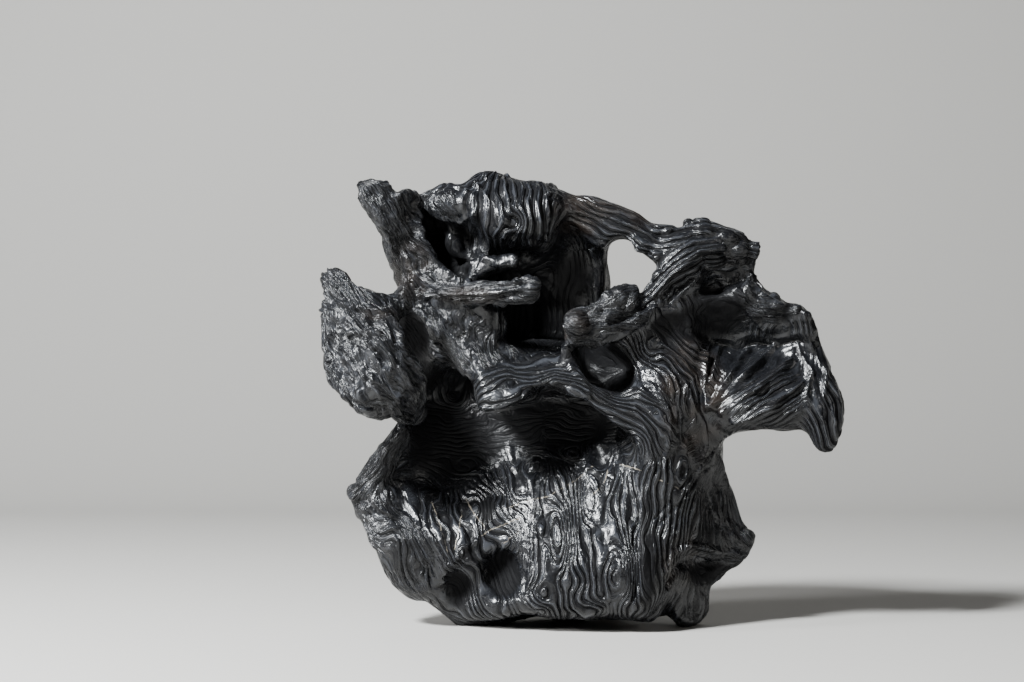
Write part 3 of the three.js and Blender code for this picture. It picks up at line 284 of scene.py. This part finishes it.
long_weight, braided_weight, loose_weight = 1.7, 1.0, 0.45
grain_rows = [(0, long_weight, *row) for row in long_grain]
grain_rows += [(1, braided_weight, *row) for row in braided_grain]
grain_rows += [(1, loose_weight, *row) for row in loose_grain]
grains = [AxisGrain(n, *row) for n, row in enumerate(grain_rows)]


def grain_height(points):
    """The height of the grain at each point from all that hold there, and how braided it is."""
    height = np.zeros(len(points))
    braided = np.zeros(len(points))
    push = pushed(points)
    total = np.full(len(points), 1e-12)
    for grain in grains:
        near = grain.near(points)
        if not len(near):
            continue
        share, phase, along = grain.lay(points[near], push[near])
        grid = np.stack([phase, along / 4, np.full(len(near), grain.number * 3.7)], 1)
        deep = 0.7 + 0.45 * noise(grid, grain.number + 90)
        rise = deep * (crests(phase) - 0.6)
        if grain.braid:
            split = noise(grid * [0.7, 0.6, 1], grain.number + 130)
            split += 0.45 * noise(grid * [1.7, 1.3, 1], grain.number + 170)
            rise = 0.5 * rise + 1.0 * (np.minimum(np.abs(split) * 2.4, 1) ** 0.7 - 0.6)
        share = share ** hold
        height[near] += share * grain.tall * rise
        braided[near] += share * grain.braid
        total[near] += share
    return height / total, braided / total


# Folds that stand out, drawn on the front of the stone as the eye sees it: the line on the sheet, its
# half width, and its height, which is below nought for a groove.
folds = [
    ([(396, 197), (413, 197), (417, 219), (420, 240), (427, 254), (439, 268), (450, 278)], 6.5, 6.0),
    ([(447, 276), (459, 282), (484, 279), (500, 277), (520, 278)], 4.0, 2.4),
    ([(359, 184), (370, 181), (382, 182), (390, 188), (396, 197)], 3.5, 2.5),
    ([(382, 197), (398, 220), (414, 242), (431, 270)], 3.0, 1.8),
    ([(380, 227), (406, 258), (422, 274), (441, 293)], 3.5, 1.6),
    ([(341, 303), (367, 312), (386, 317), (398, 335), (402, 354), (418, 368)], 4.5, 4.5),
    ([(347, 335), (363, 331), (378, 333)], 3.5, 3.5),
    ([(365, 340), (373, 350), (382, 368), (390, 373), (393, 366), (390, 357), (378, 341)], 3.0, 3.2),
    ([(376, 351), (387, 366)], 4.0, -3.6),
    ([(385, 372), (395, 392), (400, 412)], 3.5, 3.5),
    ([(398, 368), (408, 386), (415, 404)], 3.5, 3.5),
    ([(372, 376), (380, 394), (384, 412)], 3.5, 3.0),
    ([(350, 362), (358, 384), (366, 404)], 3.5, 3.0),
    ([(338, 372), (346, 396)], 3.0, 3.0),
    ([(354, 340), (360, 360), (366, 378)], 3.0, 3.0),
    ([(720, 452), (704, 470), (690, 488), (676, 506), (662, 522)], 1.8, -2.2),
    ([(714, 450), (698, 467), (684, 484), (670, 502), (656, 518)], 1.8, -2.2),
    ([(640, 600), (644, 560), (642, 520), (644, 490)], 4.0, 2.6),
    ([(668, 586), (676, 567), (692, 558), (710, 566), (724, 562)], 5.0, -4.5),
    ([(664, 572), (672, 553), (690, 545), (708, 549), (722, 552), (736, 552)], 4.0, 3.5),
    ([(367, 391), (375, 380), (384, 384)], 3.0, 2.0),
    ([(324, 301), (331, 333), (334, 356), (331, 384)], 2.8, -3.0),
    ([(390, 407), (402, 391), (414, 403)], 3.5, 2.4),
    ([(340, 290), (350, 318), (346, 350), (352, 385)], 3.0, 2.0),
    ([(395, 345), (404, 372), (412, 398)], 3.0, 2.0),
    ([(424, 197), (443, 185), (461, 188), (475, 197)], 4.0, 2.5),
    ([(427, 207), (443, 219), (461, 221), (475, 213)], 3.5, 2.6),
    ([(451, 191), (455, 207)], 2.4, 1.6),
    ([(459, 190), (463, 206)], 2.4, 1.6),
    ([(443, 224), (440, 236), (444, 252), (456, 264), (466, 262)], 3.0, -3.0),
    ([(475, 213), (473, 231), (475, 250), (484, 258), (496, 262), (504, 270)], 4.5, 3.2),
    ([(461, 221), (467, 242), (471, 262)], 2.8, 2.4),
    ([(441, 293), (463, 295), (484, 294), (504, 291), (522, 288)], 2.6, 2.0),
    ([(455, 299), (484, 301), (504, 304), (520, 304), (537, 301)], 3.0, 2.6),
    ([(500, 297), (520, 294)], 3.2, -4.0),
    ([(404, 280), (414, 300), (428, 322), (440, 334)], 4.0, 4.0),
    ([(412, 270), (424, 290), (438, 310), (452, 322)], 4.0, 3.6),
    ([(442, 284), (470, 289), (500, 287), (524, 284)], 2.4, -2.6),
    ([(475, 182), (490, 201), (496, 221), (506, 238)], 2.8, 3.0),
    ([(485, 176), (501, 203), (502, 219), (514, 240)], 2.6, 2.8),
    ([(496, 175), (506, 193), (512, 207)], 2.6, 2.8),
    ([(506, 176), (516, 191), (519, 207), (526, 220), (524, 232)], 2.6, 2.8),
    ([(518, 182), (526, 201), (530, 221), (535, 242)], 2.6, 3.0),
    ([(529, 184), (535, 201), (539, 221), (545, 240)], 2.6, 3.0),
    ([(541, 184), (545, 201), (549, 220)], 2.8, 2.4),
    ([(551, 201), (571, 211), (596, 215)], 3.0, 1.8),
    ([(545, 193), (565, 199), (590, 203), (618, 212)], 3.0, 2.2),
    ([(652, 298), (661, 286), (672, 274), (684, 264), (700, 252), (722, 248)], 4.0, 5.0),
    ([(754, 246), (750, 266), (746, 284)], 4.0, 4.0),
    ([(735, 262), (745, 286), (756, 300), (774, 316)], 3.6, 3.0),
    ([(612, 323), (630, 315), (648, 304)], 5.0, -6.0),
    ([(590, 345), (612, 338), (634, 328), (654, 306)], 4.0, 4.0),
    ([(672, 302), (684, 290), (694, 280), (707, 270)], 3.4, 3.0),
    ([(575, 340), (567, 345), (565, 360), (575, 372), (585, 383), (590, 395)], 2.8, 2.0),
    ([(632, 470), (640, 500), (634, 540), (638, 580), (634, 600)], 3.0, -3.0),
    ([(707, 408), (704, 380), (702, 352)], 5.0, 6.0),
    ([(708, 406), (713, 376), (718, 348)], 4.0, 5.0),
    ([(712, 404), (730, 378), (748, 350)], 4.0, 6.0),
    ([(714, 407), (744, 376), (774, 346)], 4.6, 7.0),
    ([(722, 412), (758, 388), (792, 360)], 4.4, 6.5),
    ([(734, 420), (770, 406), (802, 384)], 4.2, 5.5),
    ([(700, 350), (720, 344), (738, 349), (756, 343), (776, 347), (796, 341), (818, 346)], 3.6, -3.6),
    ([(712, 336), (734, 340), (752, 334), (778, 338), (800, 332), (816, 337)], 4.0, 2.0),
    ([(733, 296), (750, 312), (764, 330)], 3.0, 2.6),
    ([(800, 352), (812, 372), (806, 396), (822, 420)], 3.2, 3.0),
    ([(812, 346), (826, 372), (822, 398), (834, 422)], 3.2, 3.0),
    ([(455, 560), (464, 548), (475, 541)], 3.5, 3.0),
    ([(640, 345), (668, 360), (688, 390), (694, 420), (684, 450)], 3.0, 2.6),
    ([(660, 345), (684, 362), (698, 390)], 3.0, 2.4),
    ([(628, 372), (652, 386), (668, 412), (670, 440), (662, 470)], 3.0, 2.4),
    ([(614, 392), (636, 408), (650, 436), (652, 470)], 3.0, 2.2),
    ([(690, 400), (704, 424), (706, 448), (698, 470)], 3.0, 2.2),
]

# Lumps and pits: middle on the sheet, half sizes, and height, which is below nought for a pit.
lumps = [
    (361, 321, 9, 8, 3.0), (414, 346, 15, 32, -8.0), (393, 250, 5, 8, 4.0), (454, 245, 11, 16, 3.5),
    (508, 261, 11, 8, 3.5), (458, 280, 6, 5, 2.6), (469, 281, 5, 5, 3.2), (482, 280, 5, 5, 3.2),
    (494, 279, 5, 5, 3.2), (506, 278, 5, 5, 3.2), (516, 280, 5, 5, 3.0), (534, 284, 8, 11, 3.5),
    (516, 222, 7, 8, -4.0), (531, 243, 5, 5, 3.0), (544, 239, 4, 4, 2.6), (656, 275, 7, 6, 3.5),
    (668, 293, 7, 6, 3.0), (695, 272, 8, 6, 3.0), (662, 300, 6, 6, 2.5), (535, 465, 8, 7, 2.5),
    (449, 570, 8, 8, 2.5), (503, 574, 20, 27, -8.0), (459, 590, 17, 24, -8.0), (393, 192, 6, 5, -2.5),
    (578, 322, 9, 6, 2.0), (596, 311, 6, 9, 1.8), (607, 300, 9, 6, 2.2), (622, 297, 6, 9, 2.0),
    (612, 316, 9, 6, 1.6), (634, 306, 8, 10, 1.8), (354, 493, 6, 8, 5.5), (366, 508, 6, 6, 2.4),
    (748, 537, 7, 8, 4.5), (736, 556, 7, 6, 2.6), (640, 247, 9, 6, 3.0), (655, 256, 7, 5, 2.6),
    (632, 240, 6, 5, 2.0), (716, 262, 9, 8, 3.0), (742, 250, 9, 8, 3.0), (728, 236, 9, 7, 2.6),
    (704, 230, 9, 7, 2.6), (606, 456, 16, 14, -5.0), (688, 223, 5, 5, 3.4), (704, 221, 6, 4, 2.6),
    (678, 228, 4, 5, -3.4), (748, 236, 4, 5, -3.4), (755, 250, 6, 9, 3.0), (752, 276, 5, 5, 2.4),
    (757, 292, 5, 6, -3.0), (776, 296, 6, 5, 3.0), (792, 302, 5, 5, -3.0), (806, 316, 6, 6, 3.0),
    (838, 372, 5, 7, -2.6), (816, 338, 5, 6, -2.6), (660, 236, 5, 5, -3.0), (668, 232, 5, 4, 2.4),
    (488, 176, 8, 5, 2.4), (472, 186, 4, 6, -3.4), (530, 186, 6, 5, -2.6), (552, 186, 6, 5, 2.4),
]


class Fold:
    def __init__(self, places, wide, tall):
        self.points = [on_stone(*place) for place in places]
        self.wide = wide
        self.tall = tall

    def raise_on(self, points, rise):
        low = np.min(self.points, axis=0) - 3 * self.wide
        high = np.max(self.points, axis=0) + 3 * self.wide
        near = np.flatnonzero(np.all((points > low) & (points < high), axis=1))
        nearest = np.full(len(near), np.inf)
        for start, end in zip(self.points[:-1], self.points[1:]):
            way = end - start
            along = np.clip((points[near] - start) @ way / (way @ way), 0, 1)
            gap = points[near] - start - np.outer(along, way)
            nearest = np.minimum(nearest, np.linalg.norm(gap, axis=1))
        far = (nearest / self.wide) ** 2
        rise[near] += self.tall * (1 - 0.7 * far) * np.exp(-far)


class Lump:
    def __init__(self, across, down, wide, high, tall):
        self.middle = on_stone(across, down)
        self.halves = np.array([wide, 1.2 * max(wide, high), high])
        self.tall = tall

    def raise_on(self, points, rise):
        gap = (points - self.middle) / self.halves
        near = np.flatnonzero(np.all(np.abs(gap) < 2.2, axis=1))
        far = np.linalg.norm(gap[near], axis=1)
        ring = 0.4 if self.tall > 0 else 0.15
        rise[near] += self.tall * (np.exp(-far ** 3) - ring * np.exp(-((far - 1.3) / 0.3) ** 2))


# Faces that split off smooth along a layer: middle on the sheet and half sizes across, deep and up
split_places = [((733, 512, 62), (16, 34, 34)), ((702, 590, 44), (20, 26, 20))]

# Places where shade is painted: hollows and spots under overhangs, where the finish turns to a
# near-black, hardly reflecting one as painted shade. The relief is softer there.
painted_shade_places = [
    ((786, 312, 4), (7, 16, 12)), ((712, 314), (34, 30, 28)), ((606, 370), (28, 44, 24)),
    ((672, 326), (22, 30, 14)), ((440, 440), (50, 44, 40)), ((706, 573), (32, 30, 11)),
    ((558, 424), (62, 50, 24)), ((487, 438), (20, 40, 28)), ((503, 576), (14, 24, 20)),
    ((459, 591), (13, 24, 18)), ((575, 275, 60), (34, 40, 50)), ((486, 503, -18), (9, 16, 20)),
    ((648, 545, -60), (7, 24, 60)), ((412, 340), (18, 26, 34)), ((428, 376), (14, 26, 20)),
    ((640, 470, 140), (60, 36, 70)), ((540, 330, 126), (50, 30, 60)), ((770, 360, 84), (50, 26, 36)),
    ((450, 430, 96), (34, 30, 50)),
]


# Where iron has stained the stone brown
brown_places = [
    ((412, 272, -10), (20, 60, 28)), ((470, 296, -50), (34, 40, 8)),
    ((574, 326, -40), (16, 30, 16)), ((690, 400, -10), (34, 50, 60)), ((600, 214, 0), (60, 40, 22)),
    ((376, 314, -50), (18, 40, 8)), ((676, 560, -20), (22, 40, 30)),
]


def inside(points, places):
    """How far inside the nearest place each point is. A place with no depth lies on the front."""
    share = np.zeros(len(points))
    for place, halves in places:
        middle = to_stone(place) if len(place) == 3 else on_stone(*place)
        reach = np.linalg.norm((points - middle) / np.array(halves), axis=1)
        share = np.maximum(share, np.clip((1.25 - reach) / 0.4, 0, 1))
    return share * share * (3 - 2 * share)


broad_swell, small_swell, pit_size, rough_size, break_size = 30, 13, 6.5, 4.2, 10
foot_height = 2
foot_blend = 6
lowest_relief = 0.8


def wear(mesh):
    """Moves each point of the skin along its normal by the swell, the grain, the folds and the lumps."""
    points = read_points(mesh) / MM
    normals = read_points(mesh, "normal")
    calm = np.maximum(inside(points, split_places), 0.5 * inside(points, painted_shade_places))
    height, braided = grain_height(points)
    swell = 1.8 * noise(points / broad_swell, 1)
    swell += (0.8 + 1.2 * braided) * noise(points / small_swell, 2)
    pitting = np.minimum(noise(points / pit_size, 3) + 0.4, 0) * (0.8 + 0.6 * braided)
    rough = (0.15 + 0.25 * braided) * noise(points / rough_size, 4)
    broken = 1.5 * braided * (np.abs(noise(points / break_size, 5)) - 0.3)
    rise = (swell + height + pitting + rough + broken) * (1 - 0.85 * calm)
    for feature in [Fold(*row) for row in folds] + [Lump(*row) for row in lumps]:
        feature.raise_on(points, rise)
    height_up = points[:, 2]
    foot = np.clip((height_up - foot_height) / foot_blend, 0, 1)
    moved = points + normals * (rise * foot)[:, None]
    lifted = np.maximum(moved[:, 2], lowest_relief)
    moved[:, 2] = np.where(height_up < foot_height, height_up, lifted)
    mesh.vertices.foreach_set("co", (moved * MM).astype(np.float32).ravel())
    mesh.update()


wear(stone.data)
take_in_hand(stone)
faces_now = sum(len(face.vertices) - 2 for face in stone.data.polygons)
apply_modifier(stone, "DECIMATE", ratio=face_limit / faces_now)
apply_modifier(stone, "TRIANGULATE")
bpy.ops.object.shade_smooth()


# Thin pale veins, drawn on the front as the eye sees it
veins = [
    [(507, 508), (530, 500), (550, 496), (565, 486), (577, 480), (590, 468), (610, 455)],
    [(483, 535), (490, 530), (505, 524), (520, 518)], [(610, 462), (605, 482), (595, 493)],
    [(603, 455), (620, 464), (640, 470), (660, 480), (680, 490)], [(432, 503), (440, 525), (447, 550)],
    [(466, 500), (475, 515), (485, 527)], [(505, 542), (518, 533)], [(455, 548), (458, 530), (462, 512)],
]


def vein_distance(points):
    """Distance to the nearest vein, and the same with a sign for the side of the vein."""
    far = np.full(len(points), 9.0)
    signed = np.full(len(points), 9.0)
    for vein in veins:
        places = [on_stone(*place) for place in vein]
        for start, end in zip(places[:-1], places[1:]):
            way = end - start
            gap = points - start
            along = np.clip(gap @ way / (way @ way), 0, 1)
            distance = np.linalg.norm(gap - np.outer(along, way), axis=1)
            closer = distance < far
            side = np.sign(gap[:, 0] * way[2] - gap[:, 2] * way[0])
            signed = np.where(closer, distance * side, signed)
            far = np.where(closer, distance, far)
    return far, signed


# The stone: the lie of the grain for its finish
# The finish draws the finest lines itself. A map tells it how many grain lines lie across and how far
# along them a place is, and attributes of the points tell it how settled and how hidden the place is.
def store(mesh, name, values):
    attribute = mesh.attributes.new(name, "FLOAT", "POINT")
    attribute.data.foreach_set("value", np.ascontiguousarray(values, np.float32))


reach_in = 110 * MM
lift_off = 5 * MM
evening_rounds = 12


def hollowness(mesh):
    """The share of the directions in front of each point that meet the stone again close by."""
    normals = read_points(mesh, "normal")
    starts = read_points(mesh) + normals * lift_off
    steps = (-1, 0, 1)
    ways = [Vector((x, y, z)).normalized() for x in steps for y in steps for z in steps if x or y or z]
    facing = normals @ np.array(ways).T > 0.25
    shut = np.zeros(len(starts))
    for n, start in enumerate(starts):
        start = Vector(start)
        meets = [skin.ray_cast(start, ways[k], reach_in)[0] for k in np.flatnonzero(facing[n])]
        shut[n] = sum(place is not None for place in meets) / max(len(meets), 1)
    ends = np.empty(len(mesh.edges) * 2, np.int64)
    mesh.edges.foreach_get("vertices", ends)
    ends = ends.reshape(-1, 2)
    count = np.bincount(ends.ravel(), minlength=len(starts))
    for turn in range(evening_rounds):
        shut = np.bincount(ends.ravel(), shut[ends[:, ::-1]].ravel(), len(starts)) / count
    return shut


def map_grain(mesh):
    points = read_points(mesh) / MM
    corners = np.empty(len(mesh.loops), np.int64)
    mesh.loops.foreach_get("vertex_index", corners)
    faces = corners.reshape(-1, 3)
    middles = points[faces].mean(axis=1)
    best = np.zeros(len(faces))
    second = np.zeros(len(faces))
    chosen = np.full(len(faces), -1)
    for n, grain in enumerate(grains):
        near = grain.near(middles)
        if not len(near):
            continue
        share = grain.lay(middles[near], 0)[0]
        better = share > best[near]
        second[near] = np.where(better, best[near], np.maximum(second[near], share))
        best[near] = np.where(better, share, best[near])
        chosen[near[better]] = n
    push = pushed(points)
    lie = np.zeros((len(faces), 3, 2))
    for n, grain in enumerate(grains):
        mine = np.flatnonzero(chosen == n)
        if not len(mine):
            continue
        ends = faces[mine].ravel()
        phase, along = grain.lay(points[ends], push[ends])[1:]
        phase = phase.reshape(-1, 3)
        phase -= grain.lines * np.round((phase - phase[:, :1]) / grain.lines)
        lie[mine, :, 0] = phase
        lie[mine, :, 1] = along.reshape(-1, 3)
    layer = mesh.uv_layers.new(name="grain")
    layer.data.foreach_set("uv", lie.astype(np.float32).ravel())
    sure = np.clip(2.5 * (1 - second / np.maximum(best, 1e-9)), 0, 1)
    braid = np.array([grain.braid for grain in grains])[chosen]
    count = np.bincount(corners, minlength=len(points))
    store(mesh, "settled", np.bincount(corners, np.repeat(sure, 3), len(points)) / count)
    store(mesh, "braided", np.bincount(corners, np.repeat(braid, 3), len(points)) / count)
    store(mesh, "split_face", inside(points, split_places))
    # The places of painted shade, and below, how hidden each point is, which also sets painted shade.
    store(mesh, "painted_shade_mask", inside(points, painted_shade_places))
    store(mesh, "hollow", hollowness(mesh))
    store(mesh, "brown", inside(points, brown_places))
    far, signed = vein_distance(points)
    store(mesh, "vein_far", far)
    store(mesh, "vein_side", signed)


map_grain(stone.data)
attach(stone, "root")
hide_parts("stone")


# The stone's finish
# Near-black limestone, rubbed with wax, so the crests shine. Lighter lines painted along the crests are
# painted highlights; the grooves are painted darker, and the hollows get painted shade: a near-black
# finish that hardly reflects.
class Wire:
    """A value in a finish: its operators add Math nodes to the tree being made."""

    tree = None

    def __init__(self, socket):
        self.socket = socket

    @classmethod
    def feed(cls, socket, value):
        if isinstance(value, Wire):
            cls.tree.links.new(value.socket, socket)
        else:
            socket.default_value = value

    @classmethod
    def node(cls, kind, output=0, inputs=None, **settings):
        node = cls.tree.nodes.new(kind)
        for name, value in settings.items():
            setattr(node, name, value)
        for name, value in (inputs or {}).items():
            cls.feed(node.inputs[name], value)
        return cls(node.outputs[output])

    def math(self, operation, *others):
        inputs = dict(enumerate((self, *others)))
        return Wire.node("ShaderNodeMath", inputs=inputs, operation=operation)

    def __add__(self, other):
        return self.math("ADD", other)

    __radd__ = __add__

    def __mul__(self, other):
        return self.math("MULTIPLY", other)

    __rmul__ = __mul__

    def __sub__(self, other):
        return self.math("SUBTRACT", other)

    def __rsub__(self, other):
        return self * -1 + other

    def __pow__(self, other):
        return self.math("POWER", other)

    def step(self, low, high):
        """Eases from 0 at low to 1 at high."""
        inputs = {"Value": self, "From Min": low, "From Max": high}
        return Wire.node("ShaderNodeMapRange", inputs=inputs, interpolation_type="SMOOTHSTEP")

    def crest(self):
        return (self * np.pi).math("SINE").math("ABSOLUTE") ** 0.75


def blend(share, first, second):
    inputs = {"Factor": share, 6: first, 7: second}
    return Wire.node("ShaderNodeMix", 2, inputs, data_type="RGBA")


def cloud(vector, scale, detail=2.0):
    inputs = {"Vector": vector, "Scale": scale, "Detail": detail}
    return Wire.node("ShaderNodeTexNoise", "Fac", inputs)


finish = bpy.data.materials.new("waxed_black_stone")
finish.use_nodes = True
Wire.tree = finish.node_tree
lie = Wire.node("ShaderNodeUVMap", uv_map="grain")
split = Wire.tree.nodes.new("ShaderNodeSeparateXYZ")
Wire.feed(split.inputs[0], lie)
lines, along = Wire(split.outputs[0]), Wire(split.outputs[1])
place = Wire.node("ShaderNodeTexCoord", "Object")
stored = ("settled", "braided", "split_face", "painted_shade_mask", "hollow", "brown", "vein_far", "vein_side")
settled, braided, split_face, painted_shade_mask, hollow, brown, vein_far, vein_side = [
    Wire.node("ShaderNodeAttribute", "Fac", attribute_name=name) for name in stored
]


def lie_at(lines_step, along_step):
    inputs = {"X": lines * lines_step, "Y": along * along_step}
    return Wire.node("ShaderNodeCombineXYZ", inputs=inputs)


bend = cloud(lie_at(0.9, 0.35), 1.0, 3.0) - 0.5
main = (lines + bend * 0.25).crest()
fine = (lines * 3 + bend * 2.2).crest()
streak = cloud(lie_at(3.0, 0.5), 1.6, 4.0)
braid = ((cloud(lie_at(0.9, 0.16), 1.0, 3.0) - 0.5).math("ABSOLUTE") * 5).math("MINIMUM", 1.0)
grit = cloud(place, 420.0, 4.0)
# Painted shade: hidden points and the shade places get the near-black, hardly reflecting finish, lose
# their painted highlight lines and keep less relief.
painted_shade = (hollow + (cloud(place, 60.0) - 0.5) * 0.2).step(0.4, 0.75).math("MAXIMUM", painted_shade_mask * 0.9)
depth = cloud(lie_at(0.5, 0.12), 1.0, 2.0).step(0.3, 0.62)
main_groove = (1 - main).step(0.35, 0.95) * settled * depth
fine_groove = (1 - fine).step(0.4, 1.0) * settled
groove = (main_groove + fine_groove * 0.5).math("MINIMUM", 1.0)

# Painted highlights: lighter lines in the colour along the crests and along the short braided streaks.
broken = cloud(lie_at(0.6, 0.3), 1.3, 3.0).step(0.32, 0.6)
in_places = cloud(lie_at(0.4, 0.2), 1.0).step(0.45, 0.6)
between = (lines * 2 + bend * 0.8 + 0.5).crest().step(0.93, 1.0) * in_places
long_line = (main.step(0.9, 1.0) + between * 0.7) * settled * (1 - braided * 0.8)
short_line = (1 - braid).step(0.72, 1.0) * (braided * 0.6 + 0.15)
painted_highlight = (long_line + short_line).math("MINIMUM", 1.0) * broken * (1 - split_face) * (1 - painted_shade * 0.9)
stain = brown * cloud(place, 45.0, 4.0).step(0.3, 0.7) * 0.7
wander = (cloud(place, 260.0, 3.0) - 0.5) * 1.2
vein = 1 - (vein_side + wander).math("ABSOLUTE").step(0.3, 0.9)
vein = vein * (1 - vein_far.step(2.0, 3.5)) * cloud(place, 120.0, 2.0).step(0.3, 0.5)

body = blend(grit.step(0.35, 0.7), (0.003, 0.0032, 0.0038, 1), (0.007, 0.0074, 0.009, 1))
body = blend(stain * 0.8, body, (0.018, 0.012, 0.008, 1))
# The tone of the painted highlight lines, browner where stained.
painted_highlight_tone = blend(stain, (0.03, 0.032, 0.037, 1), (0.036, 0.029, 0.023, 1))
# Painted shade: the grooves are darker.
colour = blend(groove * 0.75, body, (0.003, 0.003, 0.004, 1))
colour = blend(painted_highlight, colour, painted_highlight_tone)
colour = blend(split_face, colour, (0.03, 0.034, 0.041, 1))
colour = blend(vein * 0.9, colour, (0.17, 0.15, 0.12, 1))
lined = (main * 1.7 + fine * 0.55) * settled * (1 - braided * 0.6)
ragged = (streak * 2.1 + braid * 1.5) * (braided * 0.75 + 0.25)
relief = (lined + ragged) * (1 - split_face * 0.9) * (1 - painted_shade * 0.3) + grit * 0.22
polish = 0.17 + groove * 0.14 + grit * 0.14 + split_face * 0.35 

bump = Wire.node("ShaderNodeBump", inputs={"Strength": 1.0, "Distance": MM, "Height": relief})
waxed = Wire.node("ShaderNodeBsdfPrincipled", inputs={
    "Base Color": colour, "Roughness": polish, "Specular IOR Level": 0.5, "Normal": bump,
})
# The near-black, hardly reflecting finish that paints shade.
painted_shade_finish = Wire.node("ShaderNodeBsdfPrincipled", inputs={
    "Base Color": (0.004, 0.004, 0.0045, 1), "Roughness": 0.7, "Specular IOR Level": 0.1, "Normal": bump,
})
finish.node_tree.nodes.remove(finish.node_tree.nodes["Principled BSDF"])
# Painted shade: between the crest lines and between the streaks the finish also turns near-black, so that
# only the lines shine.
between_lines = (1 - main).step(0.12, 0.5) * settled * (1 - braided * 0.85)
between_streaks = (0.54 - streak).step(0.0, 0.12) * (braided * 0.45 + 0.05)
shade_between_lines = (between_lines * 0.75 + between_streaks).math("MINIMUM", 1.0) * (1 - split_face) * (1 - vein)
wax_or_painted_shade = Wire.node("ShaderNodeMixShader", inputs={
    0: painted_shade.math("MAXIMUM", shade_between_lines), 1: waxed, 2: painted_shade_finish,
})
Wire.feed(finish.node_tree.nodes["Material Output"].inputs["Surface"], wax_or_painted_shade)
stone.data.materials.clear()
stone.data.materials.append(finish)


# The floor
# A plain pale sheet that lies flat under the stone and curves up into the backdrop behind it.
bend_start = 1.6
bend_radius = 0.9
outline = [(-6.0, 0.0), (bend_start, 0.0)]
for turn in np.linspace(0, np.pi / 2, 17)[1:]:
    outline.append((bend_start + bend_radius * np.sin(turn), bend_radius * (1 - np.cos(turn))))
outline.append((bend_start + bend_radius, 3.2))
corners = [(x, y, z) for y, z in outline for x in (-4.0, 4.0)]
strips = [(2 * n, 2 * n + 1, 2 * n + 3, 2 * n + 2) for n in range(len(outline) - 1)]
sheet = bpy.data.meshes.new("floor")
sheet.from_pydata(corners, [], strips)
floor = bpy.data.objects.new("floor", sheet)
bpy.context.scene.collection.objects.link(floor)
take_in_hand(floor)
bpy.ops.object.shade_smooth()
floor_finish = bpy.data.materials.new("pale_floor")
floor_finish.use_nodes = True
floor_shader = floor_finish.node_tree.nodes["Principled BSDF"]
floor_shader.inputs["Base Color"].default_value = (0.41, 0.4, 0.38, 1)
floor_shader.inputs["Roughness"].default_value = 0.7
floor.data.materials.append(floor_finish)


# The light
# A bright light high on the left in front, a second one lower on the left, a weak one on the right,
# and a dim even room.
def soft_light(name, place, aim, size, power, colour):
    light = bpy.data.lights.new(name, "AREA")
    light.shape = "RECTANGLE"
    light.size, light.size_y = size
    light.energy = power
    light.color = colour
    lamp = bpy.data.objects.new(name, light)
    lamp.location = place
    lamp.rotation_euler = (Vector(aim) - Vector(place)).to_track_quat("-Z", "Y").to_euler()
    bpy.context.scene.collection.objects.link(lamp)


soft_light("key", (-1.45, -1.45, 2.0), (0, 0, 0.25), (0.45, 0.45), 335, (0.95, 0.98, 1.0))
soft_light("side", (-2.2, -0.9, 0.9), (0, 0, 0.25), (0.45, 0.45), 66, (0.97, 0.98, 1.0))
soft_light("fill", (1.8, -1.6, 1.0), (0, 0, 0.2), (0.8, 0.8), 9, (1.0, 0.97, 0.93))
room = bpy.data.worlds.new("room")
room.use_nodes = True
room.node_tree.nodes["Background"].inputs["Color"].default_value = (0.5, 0.5, 0.52, 1)
room.node_tree.nodes["Background"].inputs["Strength"].default_value = 0.05
bpy.context.scene.world = room
